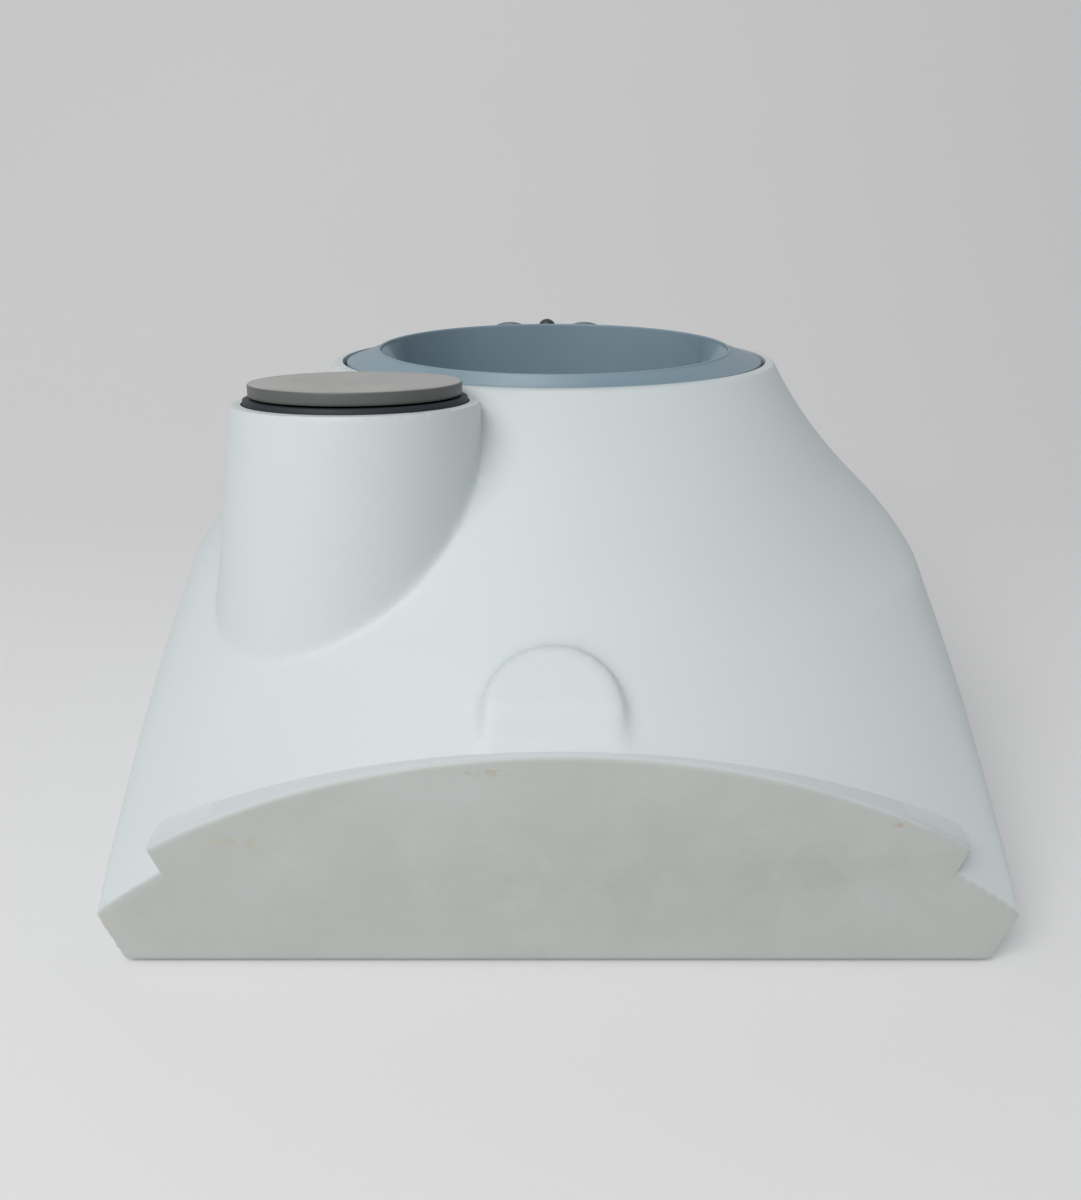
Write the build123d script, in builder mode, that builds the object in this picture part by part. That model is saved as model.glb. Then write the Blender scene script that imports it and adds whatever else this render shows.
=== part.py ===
# Countertop circulating water bath for low-temperature cooking.
# A white moulded hood carries an oval well, a round turret with a dial, and three push buttons.
# Frame: millimetres, +Z up, +X to the right of a viewer who faces the flat rear flange, +Y away
# from that viewer. The origin is on the surface that the feet stand on, under the middle of the body.
import math
import os

from build123d import *

# Body
body_width = 240.0
body_depth = 258.0
rim_height = 135.0
foot_height = 1.2
wall = 3.0
slope_wall = 4.2
skirt_top = 15.0
skirt_inset = 5.5
shoulder_radius = 10.0

# Bell of the hood: how far it runs out from the rim as it drops
rim_half_width = 73.2
rim_front = -46.0
rim_back = 100.2
front_run = 1.107
back_run = 0.235
side_run = 0.43
side_flare = 0.0077
flare_drop = 57.0
skirt_run = 0.66
ring_step = 12.0
ring_count = 13
ring_overrun = 8.0

# Rear flange: an arch with undercut ends
flange_half_width = 105.0
flange_end_height = 35.5
flange_peak = 62.5
flange_undercut = 4.5
flange_end_drop = 12.0
flange_reach = 34.0

# Raised half-round pad above the flange
pad_radius = 18.2
pad_x = -1.4
pad_straight = 12.0
pad_proud = 2.6
pad_foot_height = 61.0
pad_start = 1.0

# Turret and dial
turret_x = -55.9
turret_y = -56.4
turret_tilt = 6.0
turret_height = 134.2
turret_radius = 34.5
turret_draft = 4.6
turret_side_lean = 4.75
turret_length = 100.0
dial_radius = 29.5
dial_thickness = 3.7
dial_round = 0.7
dial_gap = 0.5
dial_hub_radius = 9.0
dial_shaft_radius = 3.0
dial_shaft_length = 18.0
dial_socket = 1.5
seat_clearance = 0.5
seat_proud = 1.4
seat_depth = 9.0
seat_thickness = 3.0
ledge_thickness = 3.0
ledge_width = 5.0
encoder_size = 14.0
encoder_height = 7.0
encoder_board_length = 34.0
encoder_board_width = 22.0
encoder_post_pitch = 13.0

# Running and assembly clearances
running_gap = 0.05
slide_gap = 0.25
fit_gap = 0.3
board_thickness = 1.6

# Well liner: its rim plane and its lip plane both lean towards the operator
opening_half_width = 72.6
opening_half_depth = 70.2
opening_y = 28.2
opening_z = 130.9
rim_tilt = 3.2
liner_gap = 0.8
lip_radius = 58.5
lip_y = 20.5
lip_z = 136.2
lip_tilt = 1.9
lip_width = 1.0
deck_thickness = 3.0
cup_wall = 2.6
cup_flat = 53.0
cup_flat_drop = 3.5
cup_base = 45.0
cup_floor = 4.0
seal_thickness = 2.0
seal_width = 2.5
seal_inset = 0.5
shelf_thickness = 2.4
shelf_width = 5.0
shelf_notch = 56.0

# Buttons, on the part of the deck that falls away behind the lip
button_x = -2.0
button_y = 89.5
button_tilt = 17.6
button_pitch = 14.6
key_radius = 5.4
start_radius = 3.1
key_stand = 0.9
key_dome = 1.2
start_stand = 1.6
start_dome = 1.8
skin_thickness = 2.5
button_flange = 0.8
button_flange_thickness = 0.8
button_travel = 1.0
tact_size = 6.0
tact_height = 3.5
tact_plunger = 1.75
control_board_length = 50.0
control_board_width = 8.6
control_post_pitch = 21.5
control_post_radius = 2.7
control_screw_length = 5.0
board_drop = -9.4

# Pump
sump_radius = 24.0
sump_depth = 13.0
guard_radius = 28.0
guard_thickness = 2.0
guard_slot = 2.4
guard_pitch = 5.0
guard_slots = 7
guard_slot_length = 34.0
impeller_radius = 20.0
impeller_hub_radius = 6.0
vane_count = 6
vane_thickness = 1.8
vane_lean = 25.0
impeller_disc = 1.4
pin_radius = 1.5
pin_seat = 2.0
air_gap = 1.0
magnet_radius = 15.0
magnet_thickness = 4.0
rotor_radius = 17.0
rotor_height = 7.0
shaft_radius = 2.0
motor_radius = 18.5
motor_height = 15.0
motor_wall = 1.5
motor_flange_radius = 25.0
motor_flange_thickness = 2.0
motor_screw_length = 5.0
armature_radius = 8.0
armature_height = 6.0
stator_gap = 0.8
stator_height = 8.0
bearing_radius = 5.0
bearing_height = 3.0
motor_screw_circle = 21.5

# Heating and sensing
band_thickness = 1.5
band_height = 34.0
band_base = 54.0
band_split = 5.0
band_gap = 0.15
terminal_size = 6.0
cutout_x = 40.0
cutout_radius = 8.0
cutout_height = 9.0
probe_radius = 2.5
probe_length = 26.0
probe_reach = 10.0
grommet_radius = 5.0
grommet_length = 8.0
probe_height = 98.0

# Base and electronics
plate_thickness = 4.0
plate_gap = 0.4
blind_floor = 1.0
screw_radius = 1.5
screw_head_radius = 2.75
screw_head_height = 2.2
head_sink = 0.2
screw_length = 14.0
board_screw_length = 6.0
inlet_screw_length = 6.0
boss_radius = 5.0
gusset_length = 32.0
gusset_thickness = 3.0
boss_height = 16.0
boss_spots = ((100.0, -112.0), (106.0, 0.0), (70.0, 100.0))
foot_radius = 10.0
foot_recess = 1.0
foot_x = 92.0
foot_y = 84.0
vent_y = -62.0
vent_count = 8
vent_pitch = 8.0
vent_length = 34.0
vent_width = 3.2
power_x = 90.0
power_y = -50.0
power_width = 38.0
power_length = 84.0
standoff_height = 5.0
standoff_radius = 3.2
transformer_width = 26.0
transformer_depth = 32.0
transformer_height = 24.0
transformer_shift = 14.0
relay_width = 15.0
relay_length = 19.0
relay_height = 15.0
capacitor_radius = 7.0
capacitor_height = 20.0
inlet_y = 20.0
inlet_z = 34.0
inlet_width = 27.0
inlet_height = 20.0
inlet_flange_width = 48.0
inlet_flange_height = 23.0
inlet_flange_thickness = 2.5
inlet_depth = 22.0
inlet_socket_depth = 17.0
socket_width = 24.0
socket_height = 16.0
socket_round = 2.0
inlet_screw_pitch = 40.0
pin_width = 4.0
pin_blade = 2.0
pin_pitch = 7.0
pin_rise = 2.0

os.makedirs("parts", exist_ok=True)

rear = -body_depth / 2
plate_top = foot_height + plate_thickness
boss_places = [(side * x, y) for x, y in boss_spots for side in (-1, 1)]
inlet_screw_places = [(inlet_y + side * inlet_screw_pitch / 2, inlet_z) for side in (-1, 1)]


def tilted_plane(x, y, z, tilt):
    """Level plane at a point, leant by tilt degrees towards +Y."""
    lean = math.radians(tilt)
    return Plane(origin=(x, y, z), x_dir=(1, 0, 0), z_dir=(0, math.sin(lean), math.cos(lean)))


turret_plane = tilted_plane(turret_x, turret_y, turret_height, turret_tilt)
rim_plane = tilted_plane(0, opening_y, opening_z, rim_tilt)
lip_plane = tilted_plane(0, lip_y, lip_z, lip_tilt)
lip_far = lip_y + lip_radius + lip_width
lip_far_z = lip_z - (lip_far - lip_y) * math.tan(math.radians(lip_tilt))
button_z = lip_far_z - (button_y - lip_far) * math.tan(math.radians(button_tilt))
button_plane = tilted_plane(button_x, button_y, button_z, button_tilt)


def save(builder, name):
    """Names a finished piece and writes it as its own file."""
    builder.part.label = name
    export_step(builder.part, f"parts/{name}.step")


def screw(length):
    """A round-headed screw: its head stands on the origin plane and its shank runs down from it."""
    with BuildPart() as fastener:
        with BuildSketch():
            Circle(screw_head_radius)
        extrude(amount=screw_head_height)
        with BuildSketch(Plane.XY.offset(screw_head_height)):
            Rectangle(1.6 * screw_head_radius, 0.8)
            Rectangle(0.8, 1.6 * screw_head_radius)
        extrude(amount=-screw_head_height / 2, mode=Mode.SUBTRACT)
        with BuildSketch():
            Circle(screw_radius)
        extrude(amount=-length)
    return fastener.part


def domed_key(radius, dome, shoulder, bottom):
    """A push button turned about Z: flange at the bottom, plain stem to the shoulder, domed top."""
    wide = radius + button_flange
    crown = (radius * radius + dome * dome) / (2 * dome)
    middle = shoulder + dome - crown + math.sqrt(crown * crown - radius * radius / 4)
    with BuildPart() as key:
        with BuildSketch(Plane.XZ):
            with BuildLine():
                Polyline(
                    (0, shoulder + dome),
                    (0, bottom),
                    (wide, bottom),
                    (wide, bottom + button_flange_thickness),
                    (radius, bottom + button_flange_thickness),
                    (radius, shoulder),
                )
                ThreePointArc((radius, shoulder), (radius / 2, middle), (0, shoulder + dome))
            make_face()
        revolve(axis=Axis.Z)
    return key.part


def bell_half_width(drop):
    """Half-width of the bell at this drop below the rim."""
    curved = min(drop, flare_drop)
    straight = max(drop - flare_drop, 0.0)
    return rim_half_width + side_run * curved + side_flare * curved * abs(curved) + skirt_run * straight


def bell_ring(drop, inset):
    """Centre and half-sizes of one level ring of the bell."""
    front = rim_front - front_run * drop + inset
    back = rim_back + back_run * drop - inset
    half_width = bell_half_width(drop) - inset
    half_depth = min((back - front) / 2, half_width - 0.1)
    return front + half_depth, half_width, half_depth


def hood_block(inset, bottom, top):
    """Front outline of the straight-sided block that bounds the hood, as a sketch on the rear plane."""
    half = body_width / 2 - inset
    with BuildSketch(Plane.XZ.offset(-(rear + inset))) as outline:
        with BuildLine():
            Polyline(
                (half - skirt_inset, bottom),
                (half, skirt_top),
                (half, top),
                (-half, top),
                (-half, skirt_top),
                (-half + skirt_inset, bottom),
                close=True,
            )
        make_face()
    return outline.sketch


def hood(inset, run, bottom, top):
    """The bell trimmed to the block: the outer form of the hood, or its cavity when inset."""
    with BuildPart() as form:
        for index in range(ring_count):
            drop = index * ring_step - ring_overrun
            centre, half_width, half_depth = bell_ring(drop, inset if drop <= 0 else run)
            with BuildSketch(Plane.XY.offset(rim_height - drop)):
                with Locations((0, centre)):
                    Ellipse(half_width, half_depth)
        loft()
        block = extrude(hood_block(inset, bottom, top), amount=-(body_depth - 2 * inset), mode=Mode.PRIVATE)
        add(block, mode=Mode.INTERSECT)
    return form


def slope_plane(height):
    """Plane on the bell's front slope, its X across the body and its Y up the slope."""
    drop = rim_height - height
    return Plane(
        origin=(0, rim_front - front_run * drop, height),
        x_dir=(1, 0, 0),
        z_dir=(0, -1, front_run),
    )


def turret_cone(inset, top, length):
    """The turret's drafted round form, leaning sideways, cut off at this height over its rim plane."""
    spread = math.tan(math.radians(turret_draft))
    lean = math.tan(math.radians(turret_side_lean))
    with BuildPart() as cone:
        for height in (seat_depth, -length):
            with BuildSketch(Plane.XY.offset(turret_height + height)):
                with Locations((turret_x + lean * height, turret_y)):
                    Circle(turret_radius - inset - height * spread)
        loft()
        with BuildSketch(turret_plane.offset(top)):
            Circle(2 * turret_radius)
        extrude(amount=3 * seat_depth, mode=Mode.SUBTRACT)
    return cone.part


# Ribs inside the hood: the shelf for the well seal and six screw bosses, trimmed to the wall
shelf_top = -deck_thickness - seal_thickness
cup_radius = lip_radius + cup_wall
with BuildPart() as ribs:
    with BuildSketch(rim_plane.offset(shelf_top - shelf_thickness)):
        Ellipse(opening_half_width + 3 * wall, opening_half_depth + 3 * wall)
        Ellipse(opening_half_width - shelf_width, opening_half_depth - shelf_width, mode=Mode.SUBTRACT)
        with Locations((0, opening_half_depth)):
            Rectangle(shelf_notch, opening_half_depth, mode=Mode.SUBTRACT)
    extrude(amount=shelf_thickness)
    with BuildSketch(Plane.XY.offset(cup_base)):
        with Locations((0, lip_y)):
            Circle(cup_radius + liner_gap)
    extrude(amount=rim_height, mode=Mode.SUBTRACT)
    with BuildSketch(Plane.XY.offset(plate_top)):
        with Locations(*boss_places):
            Circle(boss_radius)
        with Locations(*[place for place in boss_places if place[1] != 0]):
            Rectangle(gusset_thickness, gusset_length)
        with Locations(*[place for place in boss_places if place[1] == 0]):
            Rectangle(gusset_length, gusset_thickness)
    extrude(amount=boss_height)
    add(hood(wall / 2, wall / 2, foot_height, rim_height).part, mode=Mode.INTERSECT)
    with BuildSketch(Plane.XY.offset(plate_top)):
        with Locations(*boss_places):
            Circle(screw_radius)
    extrude(amount=boss_height - wall, mode=Mode.SUBTRACT)

# Ledge inside the turret that carries the dial seat
mouth_radius = turret_radius - wall
with BuildPart() as turret_ledge:
    with BuildSketch(turret_plane.offset(-seat_depth - ledge_thickness)):
        Circle(2 * turret_radius)
        Circle(mouth_radius - ledge_width, mode=Mode.SUBTRACT)
    extrude(amount=ledge_thickness)
    add(turret_cone(wall / 2, 0.0, turret_length), mode=Mode.INTERSECT)
    with BuildSketch(Plane.XY.offset(cup_base)):
        with Locations((0, lip_y)):
            Circle(cup_radius + liner_gap)
    extrude(amount=rim_height, mode=Mode.SUBTRACT)

# Hood shell: one white moulding, open underneath, with the turret, flange and pad moulded on
with BuildPart() as housing_shell:
    add(hood(0.0, 0.0, foot_height, rim_height).part)
    fillet(
        housing_shell.edges().filter_by(
            lambda edge: abs(abs(edge.center().X) - body_width / 2) < 0.01
            and edge.geom_type != GeomType.LINE
        ),
        radius=shoulder_radius,
    )
    with BuildSketch(rim_plane):
        Rectangle(body_width, body_depth)
    extrude(amount=3 * ring_overrun, mode=Mode.SUBTRACT)
    with BuildSketch(Plane.XZ.offset(-rear)):
        with BuildLine():
            ThreePointArc(
                (-flange_half_width, flange_end_height),
                (0, flange_peak),
                (flange_half_width, flange_end_height),
            )
            Polyline(
                (flange_half_width, flange_end_height),
                (flange_half_width - flange_undercut, flange_end_height - flange_end_drop),
                (-flange_half_width + flange_undercut, flange_end_height - flange_end_drop),
                (-flange_half_width, flange_end_height),
            )
        make_face()
    extrude(amount=-flange_reach)
    with BuildSketch(slope_plane(pad_foot_height).offset(-2 * pad_proud)):
        with Locations((pad_x, pad_straight)):
            Circle(pad_radius)
        with Locations((pad_x, pad_straight / 2 + pad_start / 2)):
            Rectangle(2 * pad_radius, pad_straight - pad_start)
        with Locations((pad_x, pad_start - pad_radius)):
            Rectangle(2 * pad_radius, 2 * pad_radius, mode=Mode.SUBTRACT)
    extrude(amount=3 * pad_proud)
    add(turret_cone(0.0, 0.0, turret_length))
    add(hood(wall, slope_wall, foot_height - 1, rim_height + ring_overrun).part, mode=Mode.SUBTRACT)
    with BuildSketch(rim_plane.offset(shelf_top)):
        Ellipse(opening_half_width, opening_half_depth)
    extrude(amount=deck_thickness + seal_thickness + ring_overrun, mode=Mode.SUBTRACT)
    add(ribs.part)
    add(turret_cone(wall, -seat_depth, turret_length), mode=Mode.SUBTRACT)
    add(turret_ledge.part)
    with BuildSketch(turret_plane.offset(-seat_depth)):
        Circle(mouth_radius)
    extrude(amount=2 * seat_depth, mode=Mode.SUBTRACT)
    with BuildSketch(Plane.YZ.offset(body_width / 2 - 2 * wall)):
        with Locations((inlet_y, inlet_z)):
            Rectangle(inlet_width, inlet_height)
        with Locations(*inlet_screw_places):
            Circle(screw_radius + fit_gap)
    extrude(amount=3 * wall, mode=Mode.SUBTRACT)
    with BuildSketch(Plane.YZ.offset(body_width / 2 - screw_head_height)):
        with Locations(*inlet_screw_places):
            Circle(screw_head_radius + fit_gap)
    extrude(amount=wall, mode=Mode.SUBTRACT)
save(housing_shell, "housing_shell")

# Base plate: closes the hood from below and carries the motor and the power board
motor_screw_places = [
    (
        motor_screw_circle * math.cos(math.radians(90 + 120 * turn)),
        lip_y + motor_screw_circle * math.sin(math.radians(90 + 120 * turn)),
    )
    for turn in range(3)
]
standoff_places = [
    (power_x + side * (power_width / 2 - 4), power_y + end * (power_length / 2 - 4))
    for side in (-1, 1)
    for end in (-1, 1)
]
foot_places = [(side * foot_x, end * foot_y) for side in (-1, 1) for end in (-1, 1)]
counterbore = screw_head_height + head_sink
with BuildPart() as base_plate:
    add(hood(wall + plate_gap, slope_wall + plate_gap, foot_height, rim_height).part)
    with BuildSketch(Plane.XY.offset(foot_height)):
        Rectangle(body_width, body_depth)
    extrude(amount=plate_thickness, mode=Mode.INTERSECT)
    with BuildSketch(Plane.XY.offset(plate_top)):
        with Locations(*standoff_places):
            Circle(standoff_radius)
    extrude(amount=standoff_height)
    with BuildSketch(Plane.XY.offset(foot_height + blind_floor)):
        with Locations(*standoff_places, *motor_screw_places):
            Circle(screw_radius)
    extrude(amount=plate_top + standoff_height, mode=Mode.SUBTRACT)
    with BuildSketch(Plane.XY.offset(foot_height)):
        with Locations(*boss_places):
            Circle(screw_radius + fit_gap)
        with Locations((0, vent_y)):
            with GridLocations(vent_pitch, 0, vent_count, 1):
                SlotOverall(vent_length, vent_width, rotation=90)
    extrude(amount=plate_thickness, mode=Mode.SUBTRACT)
    with BuildSketch(Plane.XY.offset(foot_height)):
        with Locations(*boss_places):
            Circle(screw_head_radius + fit_gap)
    extrude(amount=counterbore, mode=Mode.SUBTRACT)
    with BuildSketch(Plane.XY.offset(foot_height)):
        with Locations(*foot_places):
            Circle(foot_radius)
    extrude(amount=foot_recess, mode=Mode.SUBTRACT)
save(base_plate, "base_plate")

# Rubber feet, glued into the plate's recesses
with BuildPart() as rubber_feet:
    with BuildSketch():
        with Locations(*foot_places):
            Circle(foot_radius)
    extrude(amount=foot_height + foot_recess)
save(rubber_feet, "rubber_feet")

# Screws that hold the base plate to the hood's bosses, heads down in their counterbores
with BuildPart() as base_screws:
    with Locations(*[Pos(x, y, foot_height + counterbore) * Rot(180, 0, 0) for x, y in boss_places]):
        add(screw(screw_length))
save(base_screws, "base_screws")

# Well liner: a moulded deck with a raised round lip, the cup under it and the pump sump in its floor
floor_top = cup_base + cup_floor
sump_floor = floor_top - sump_depth
button_places = [(step * button_pitch, 0) for step in (-1, 0, 1)]
control_post_places = [(side * control_post_pitch, 0) for side in (-1, 1)]
with BuildPart() as well_liner:
    with BuildSketch(rim_plane.offset(-deck_thickness)):
        Ellipse(opening_half_width - liner_gap, opening_half_depth - liner_gap)
    extrude(amount=deck_thickness)
    with BuildSketch(rim_plane):
        Ellipse(opening_half_width - liner_gap, opening_half_depth - liner_gap)
    with BuildSketch(lip_plane):
        Ellipse(lip_radius + lip_width + 0.1, lip_radius + lip_width)
    loft()
    with BuildSketch(Plane.XY.offset(cup_base)):
        with Locations((0, lip_y)):
            Circle(cup_radius)
    extrude(amount=opening_z - deck_thickness - cup_base)
    with BuildSketch(Plane.XY.offset(sump_floor - cup_wall)):
        with Locations((0, lip_y)):
            Circle(sump_radius + cup_wall)
    extrude(amount=cup_base - sump_floor + cup_wall)
    with BuildSketch(button_plane.offset(board_drop)):
        with Locations(*control_post_places):
            Circle(control_post_radius)
    extrude(amount=-board_drop - 2 * skin_thickness)
    with BuildSketch(Plane.XY.offset(floor_top)):
        with Locations((0, lip_y)):
            Circle(lip_radius)
        Rectangle(2 * cup_flat, 4 * lip_radius, mode=Mode.INTERSECT)
    extrude(amount=rim_height, mode=Mode.SUBTRACT)
    with BuildSketch(lip_plane.offset(-cup_flat_drop)):
        Circle(lip_radius)
    extrude(amount=2 * cup_flat_drop, mode=Mode.SUBTRACT)
    with BuildSketch(Plane.XY.offset(floor_top - guard_thickness)):
        with Locations((0, lip_y)):
            Circle(guard_radius + fit_gap)
    extrude(amount=guard_thickness, mode=Mode.SUBTRACT)
    with BuildSketch(Plane.XY.offset(sump_floor)):
        with Locations((0, lip_y)):
            Circle(sump_radius)
    extrude(amount=sump_depth, mode=Mode.SUBTRACT)
    with BuildSketch(Plane.XY.offset(sump_floor - pin_seat)):
        with Locations((0, lip_y)):
            Circle(pin_radius)
    extrude(amount=pin_seat, mode=Mode.SUBTRACT)
    with BuildSketch(button_plane.offset(-3 * skin_thickness)):
        with Locations(button_places[0], button_places[2]):
            Circle(key_radius + slide_gap)
        with Locations(button_places[1]):
            Circle(start_radius + slide_gap)
    extrude(amount=4 * skin_thickness, mode=Mode.SUBTRACT)
    with BuildSketch(button_plane.offset(-skin_thickness)):
        with Locations(button_places[0], button_places[2]):
            Circle(key_radius + button_flange + fit_gap)
        with Locations(button_places[1]):
            Circle(start_radius + button_flange + fit_gap)
    extrude(amount=-2 * skin_thickness, mode=Mode.SUBTRACT)
    with BuildSketch(button_plane.offset(board_drop)):
        with Locations(*button_places):
            Rectangle(tact_size + 2 * fit_gap, tact_size + 2 * fit_gap)
    extrude(amount=tact_height + fit_gap, mode=Mode.SUBTRACT)
    with BuildSketch(button_plane.offset(board_drop)):
        with Locations(*control_post_places):
            Circle(screw_radius)
    extrude(amount=-board_drop - 2 * skin_thickness, mode=Mode.SUBTRACT)
    with BuildSketch(Plane.YZ.offset(cup_flat - 1)):
        with Locations((lip_y, probe_height)):
            Circle(grommet_radius)
    extrude(amount=lip_radius, mode=Mode.SUBTRACT)
save(well_liner, "well_liner")

# Seal ring between the deck and the hood's shelf
with BuildPart() as well_seal:
    with BuildSketch(rim_plane.offset(shelf_top)):
        Ellipse(opening_half_width - seal_inset, opening_half_depth - seal_inset)
        Ellipse(
            opening_half_width - seal_inset - seal_width,
            opening_half_depth - seal_inset - seal_width,
            mode=Mode.SUBTRACT,
        )
    extrude(amount=seal_thickness)
    with BuildSketch(Plane.XY.offset(cup_base)):
        with Locations((0, lip_y)):
            Circle(cup_radius)
    extrude(amount=rim_height, mode=Mode.SUBTRACT)
    with BuildSketch(turret_plane.offset(-seat_depth)):
        Circle(mouth_radius)
    extrude(amount=2 * seat_depth, mode=Mode.SUBTRACT)
save(well_seal, "well_seal")

# Dial seat: dark cup in the turret's mouth, with the shaft's bearing and two posts under it
seat_radius = mouth_radius - seat_clearance
encoder_bottom = -seat_depth - encoder_height
encoder_post_places = [(side * encoder_post_pitch, 0) for side in (-1, 1)]
with BuildPart() as dial_seat:
    with BuildSketch(turret_plane.offset(-seat_depth)):
        Circle(seat_radius)
    extrude(amount=seat_depth + seat_proud)
    with BuildSketch(turret_plane.offset(-seat_depth + seat_thickness)):
        Circle(seat_radius - seat_thickness)
        Circle(dial_hub_radius, mode=Mode.SUBTRACT)
    extrude(amount=seat_depth + seat_proud, mode=Mode.SUBTRACT)
    with BuildSketch(turret_plane.offset(-seat_depth)):
        with Locations(*encoder_post_places):
            Circle(standoff_radius)
    extrude(amount=-encoder_height)
    with BuildSketch(turret_plane.offset(encoder_bottom)):
        with Locations(*encoder_post_places):
            Circle(screw_radius)
    extrude(amount=encoder_height, mode=Mode.SUBTRACT)
    with BuildSketch(turret_plane.offset(-2 * seat_depth)):
        Circle(dial_shaft_radius + running_gap)
    extrude(amount=3 * seat_depth, mode=Mode.SUBTRACT)
save(dial_seat, "dial_seat")

# Dial: the grey disc the hand turns, a finger's clearance above its seat
dial_base = seat_proud + dial_gap
with BuildPart() as dial:
    with BuildSketch(turret_plane.offset(dial_base)):
        Circle(dial_radius)
    extrude(amount=dial_thickness)
    fillet(dial.edges().group_by(SortBy.LENGTH)[-1], radius=dial_round)
    with BuildSketch(turret_plane.offset(dial_base)):
        Circle(dial_shaft_radius)
    extrude(amount=dial_socket, mode=Mode.SUBTRACT)
save(dial, "dial")

# Dial shaft, pressed into the dial and running in the seat and the encoder
with BuildPart() as dial_shaft:
    with BuildSketch(turret_plane.offset(dial_base + dial_socket)):
        Circle(dial_shaft_radius)
    extrude(amount=-dial_shaft_length)
save(dial_shaft, "dial_shaft")

# Rotary encoder under the seat
with BuildPart() as encoder_body:
    with BuildSketch(turret_plane.offset(-seat_depth)):
        Rectangle(encoder_size, encoder_size)
        Circle(dial_shaft_radius + running_gap, mode=Mode.SUBTRACT)
    extrude(amount=-encoder_height)
save(encoder_body, "encoder_body")

# Encoder board, held to the seat's posts
with BuildPart() as encoder_board:
    with BuildSketch(turret_plane.offset(encoder_bottom)):
        Rectangle(encoder_board_length, encoder_board_width)
        Circle(dial_shaft_radius + fit_gap, mode=Mode.SUBTRACT)
        with Locations(*encoder_post_places):
            Circle(screw_radius, mode=Mode.SUBTRACT)
    extrude(amount=-board_thickness)
save(encoder_board, "encoder_board")

with BuildPart() as encoder_screws:
    with Locations(
        *[
            turret_plane.offset(encoder_bottom - board_thickness).location * Pos(x, y, 0) * Rot(180, 0, 0)
            for x, y in encoder_post_places
        ]
    ):
        add(screw(board_screw_length))
save(encoder_screws, "encoder_screws")

# Push buttons, each free to slide down along the deck's normal by its travel
button_bottom = -skin_thickness - fit_gap - button_flange_thickness
with BuildPart() as minus_button:
    with Locations(button_plane.location * Pos(*button_places[0])):
        add(domed_key(key_radius, key_dome, key_stand, button_bottom))
save(minus_button, "minus_button")

with BuildPart() as start_button:
    with Locations(button_plane.location * Pos(*button_places[1])):
        add(domed_key(start_radius, start_dome, start_stand, button_bottom))
save(start_button, "start_button")

with BuildPart() as plus_button:
    with Locations(button_plane.location * Pos(*button_places[2])):
        add(domed_key(key_radius, key_dome, key_stand, button_bottom))
save(plus_button, "plus_button")

# Control board under the deck with a switch below each button
with BuildPart() as control_board:
    with BuildSketch(button_plane.offset(board_drop)):
        Rectangle(control_board_length, control_board_width)
        with Locations(*control_post_places):
            Circle(screw_radius, mode=Mode.SUBTRACT)
    extrude(amount=-board_thickness)
save(control_board, "control_board")

switch_top = button_bottom - button_travel - fit_gap
with BuildPart() as tact_switches:
    with BuildSketch(button_plane.offset(board_drop)):
        with Locations(*button_places):
            Rectangle(tact_size, tact_size)
    extrude(amount=tact_height)
    with BuildSketch(button_plane.offset(board_drop)):
        with Locations(*button_places):
            Circle(tact_plunger)
    extrude(amount=switch_top - board_drop)
save(tact_switches, "tact_switches")

with BuildPart() as control_screws:
    with Locations(
        *[
            button_plane.offset(board_drop - board_thickness).location * Pos(x, y, 0) * Rot(180, 0, 0)
            for x, y in control_post_places
        ]
    ):
        add(screw(control_screw_length))
save(control_screws, "control_screws")

# Pump: fixed pin and guard in the well, bladed impeller with a ring magnet that follows the drive
impeller_base = sump_floor + 2 * fit_gap
impeller_top = floor_top - guard_thickness - 2 * fit_gap
with BuildPart() as impeller_pin:
    with BuildSketch(Plane.XY.offset(sump_floor - pin_seat)):
        with Locations((0, lip_y)):
            Circle(pin_radius)
    extrude(amount=impeller_top - sump_floor + pin_seat)
    with BuildSketch(Plane.XY.offset(sump_floor)):
        with Locations((0, lip_y)):
            Circle(2 * pin_radius)
    extrude(amount=fit_gap)
save(impeller_pin, "impeller_pin")

with BuildPart() as impeller:
    with BuildSketch(Plane.XY.offset(impeller_base)):
        with Locations((0, lip_y)):
            Circle(impeller_radius)
    extrude(amount=magnet_thickness + impeller_disc)
    with BuildSketch(Plane.XY.offset(impeller_base + magnet_thickness + impeller_disc)):
        with Locations((0, lip_y)):
            Circle(impeller_hub_radius)
            with PolarLocations((impeller_radius + impeller_hub_radius) / 2, vane_count):
                Rectangle(impeller_radius - impeller_hub_radius + 1, vane_thickness, rotation=vane_lean)
    extrude(amount=impeller_top - impeller_base - magnet_thickness - impeller_disc)
    with BuildSketch(Plane.XY.offset(impeller_base)):
        with Locations((0, lip_y)):
            Circle(magnet_radius)
            Circle(impeller_hub_radius, mode=Mode.SUBTRACT)
    extrude(amount=magnet_thickness, mode=Mode.SUBTRACT)
    with BuildSketch(Plane.XY.offset(impeller_base)):
        with Locations((0, lip_y)):
            Circle(pin_radius + running_gap)
    extrude(amount=sump_depth, mode=Mode.SUBTRACT)
save(impeller, "impeller")

with BuildPart() as impeller_magnet:
    with BuildSketch(Plane.XY.offset(impeller_base)):
        with Locations((0, lip_y)):
            Circle(magnet_radius)
            Circle(impeller_hub_radius, mode=Mode.SUBTRACT)
    extrude(amount=magnet_thickness)
save(impeller_magnet, "impeller_magnet")

with BuildPart() as impeller_guard:
    with BuildSketch(Plane.XY.offset(floor_top - guard_thickness)):
        with Locations((0, lip_y)):
            Circle(guard_radius)
            with GridLocations(guard_pitch, 0, guard_slots, 1):
                SlotOverall(guard_slot_length, guard_slot, rotation=90, mode=Mode.SUBTRACT)
    extrude(amount=guard_thickness)
save(impeller_guard, "impeller_guard")

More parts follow.
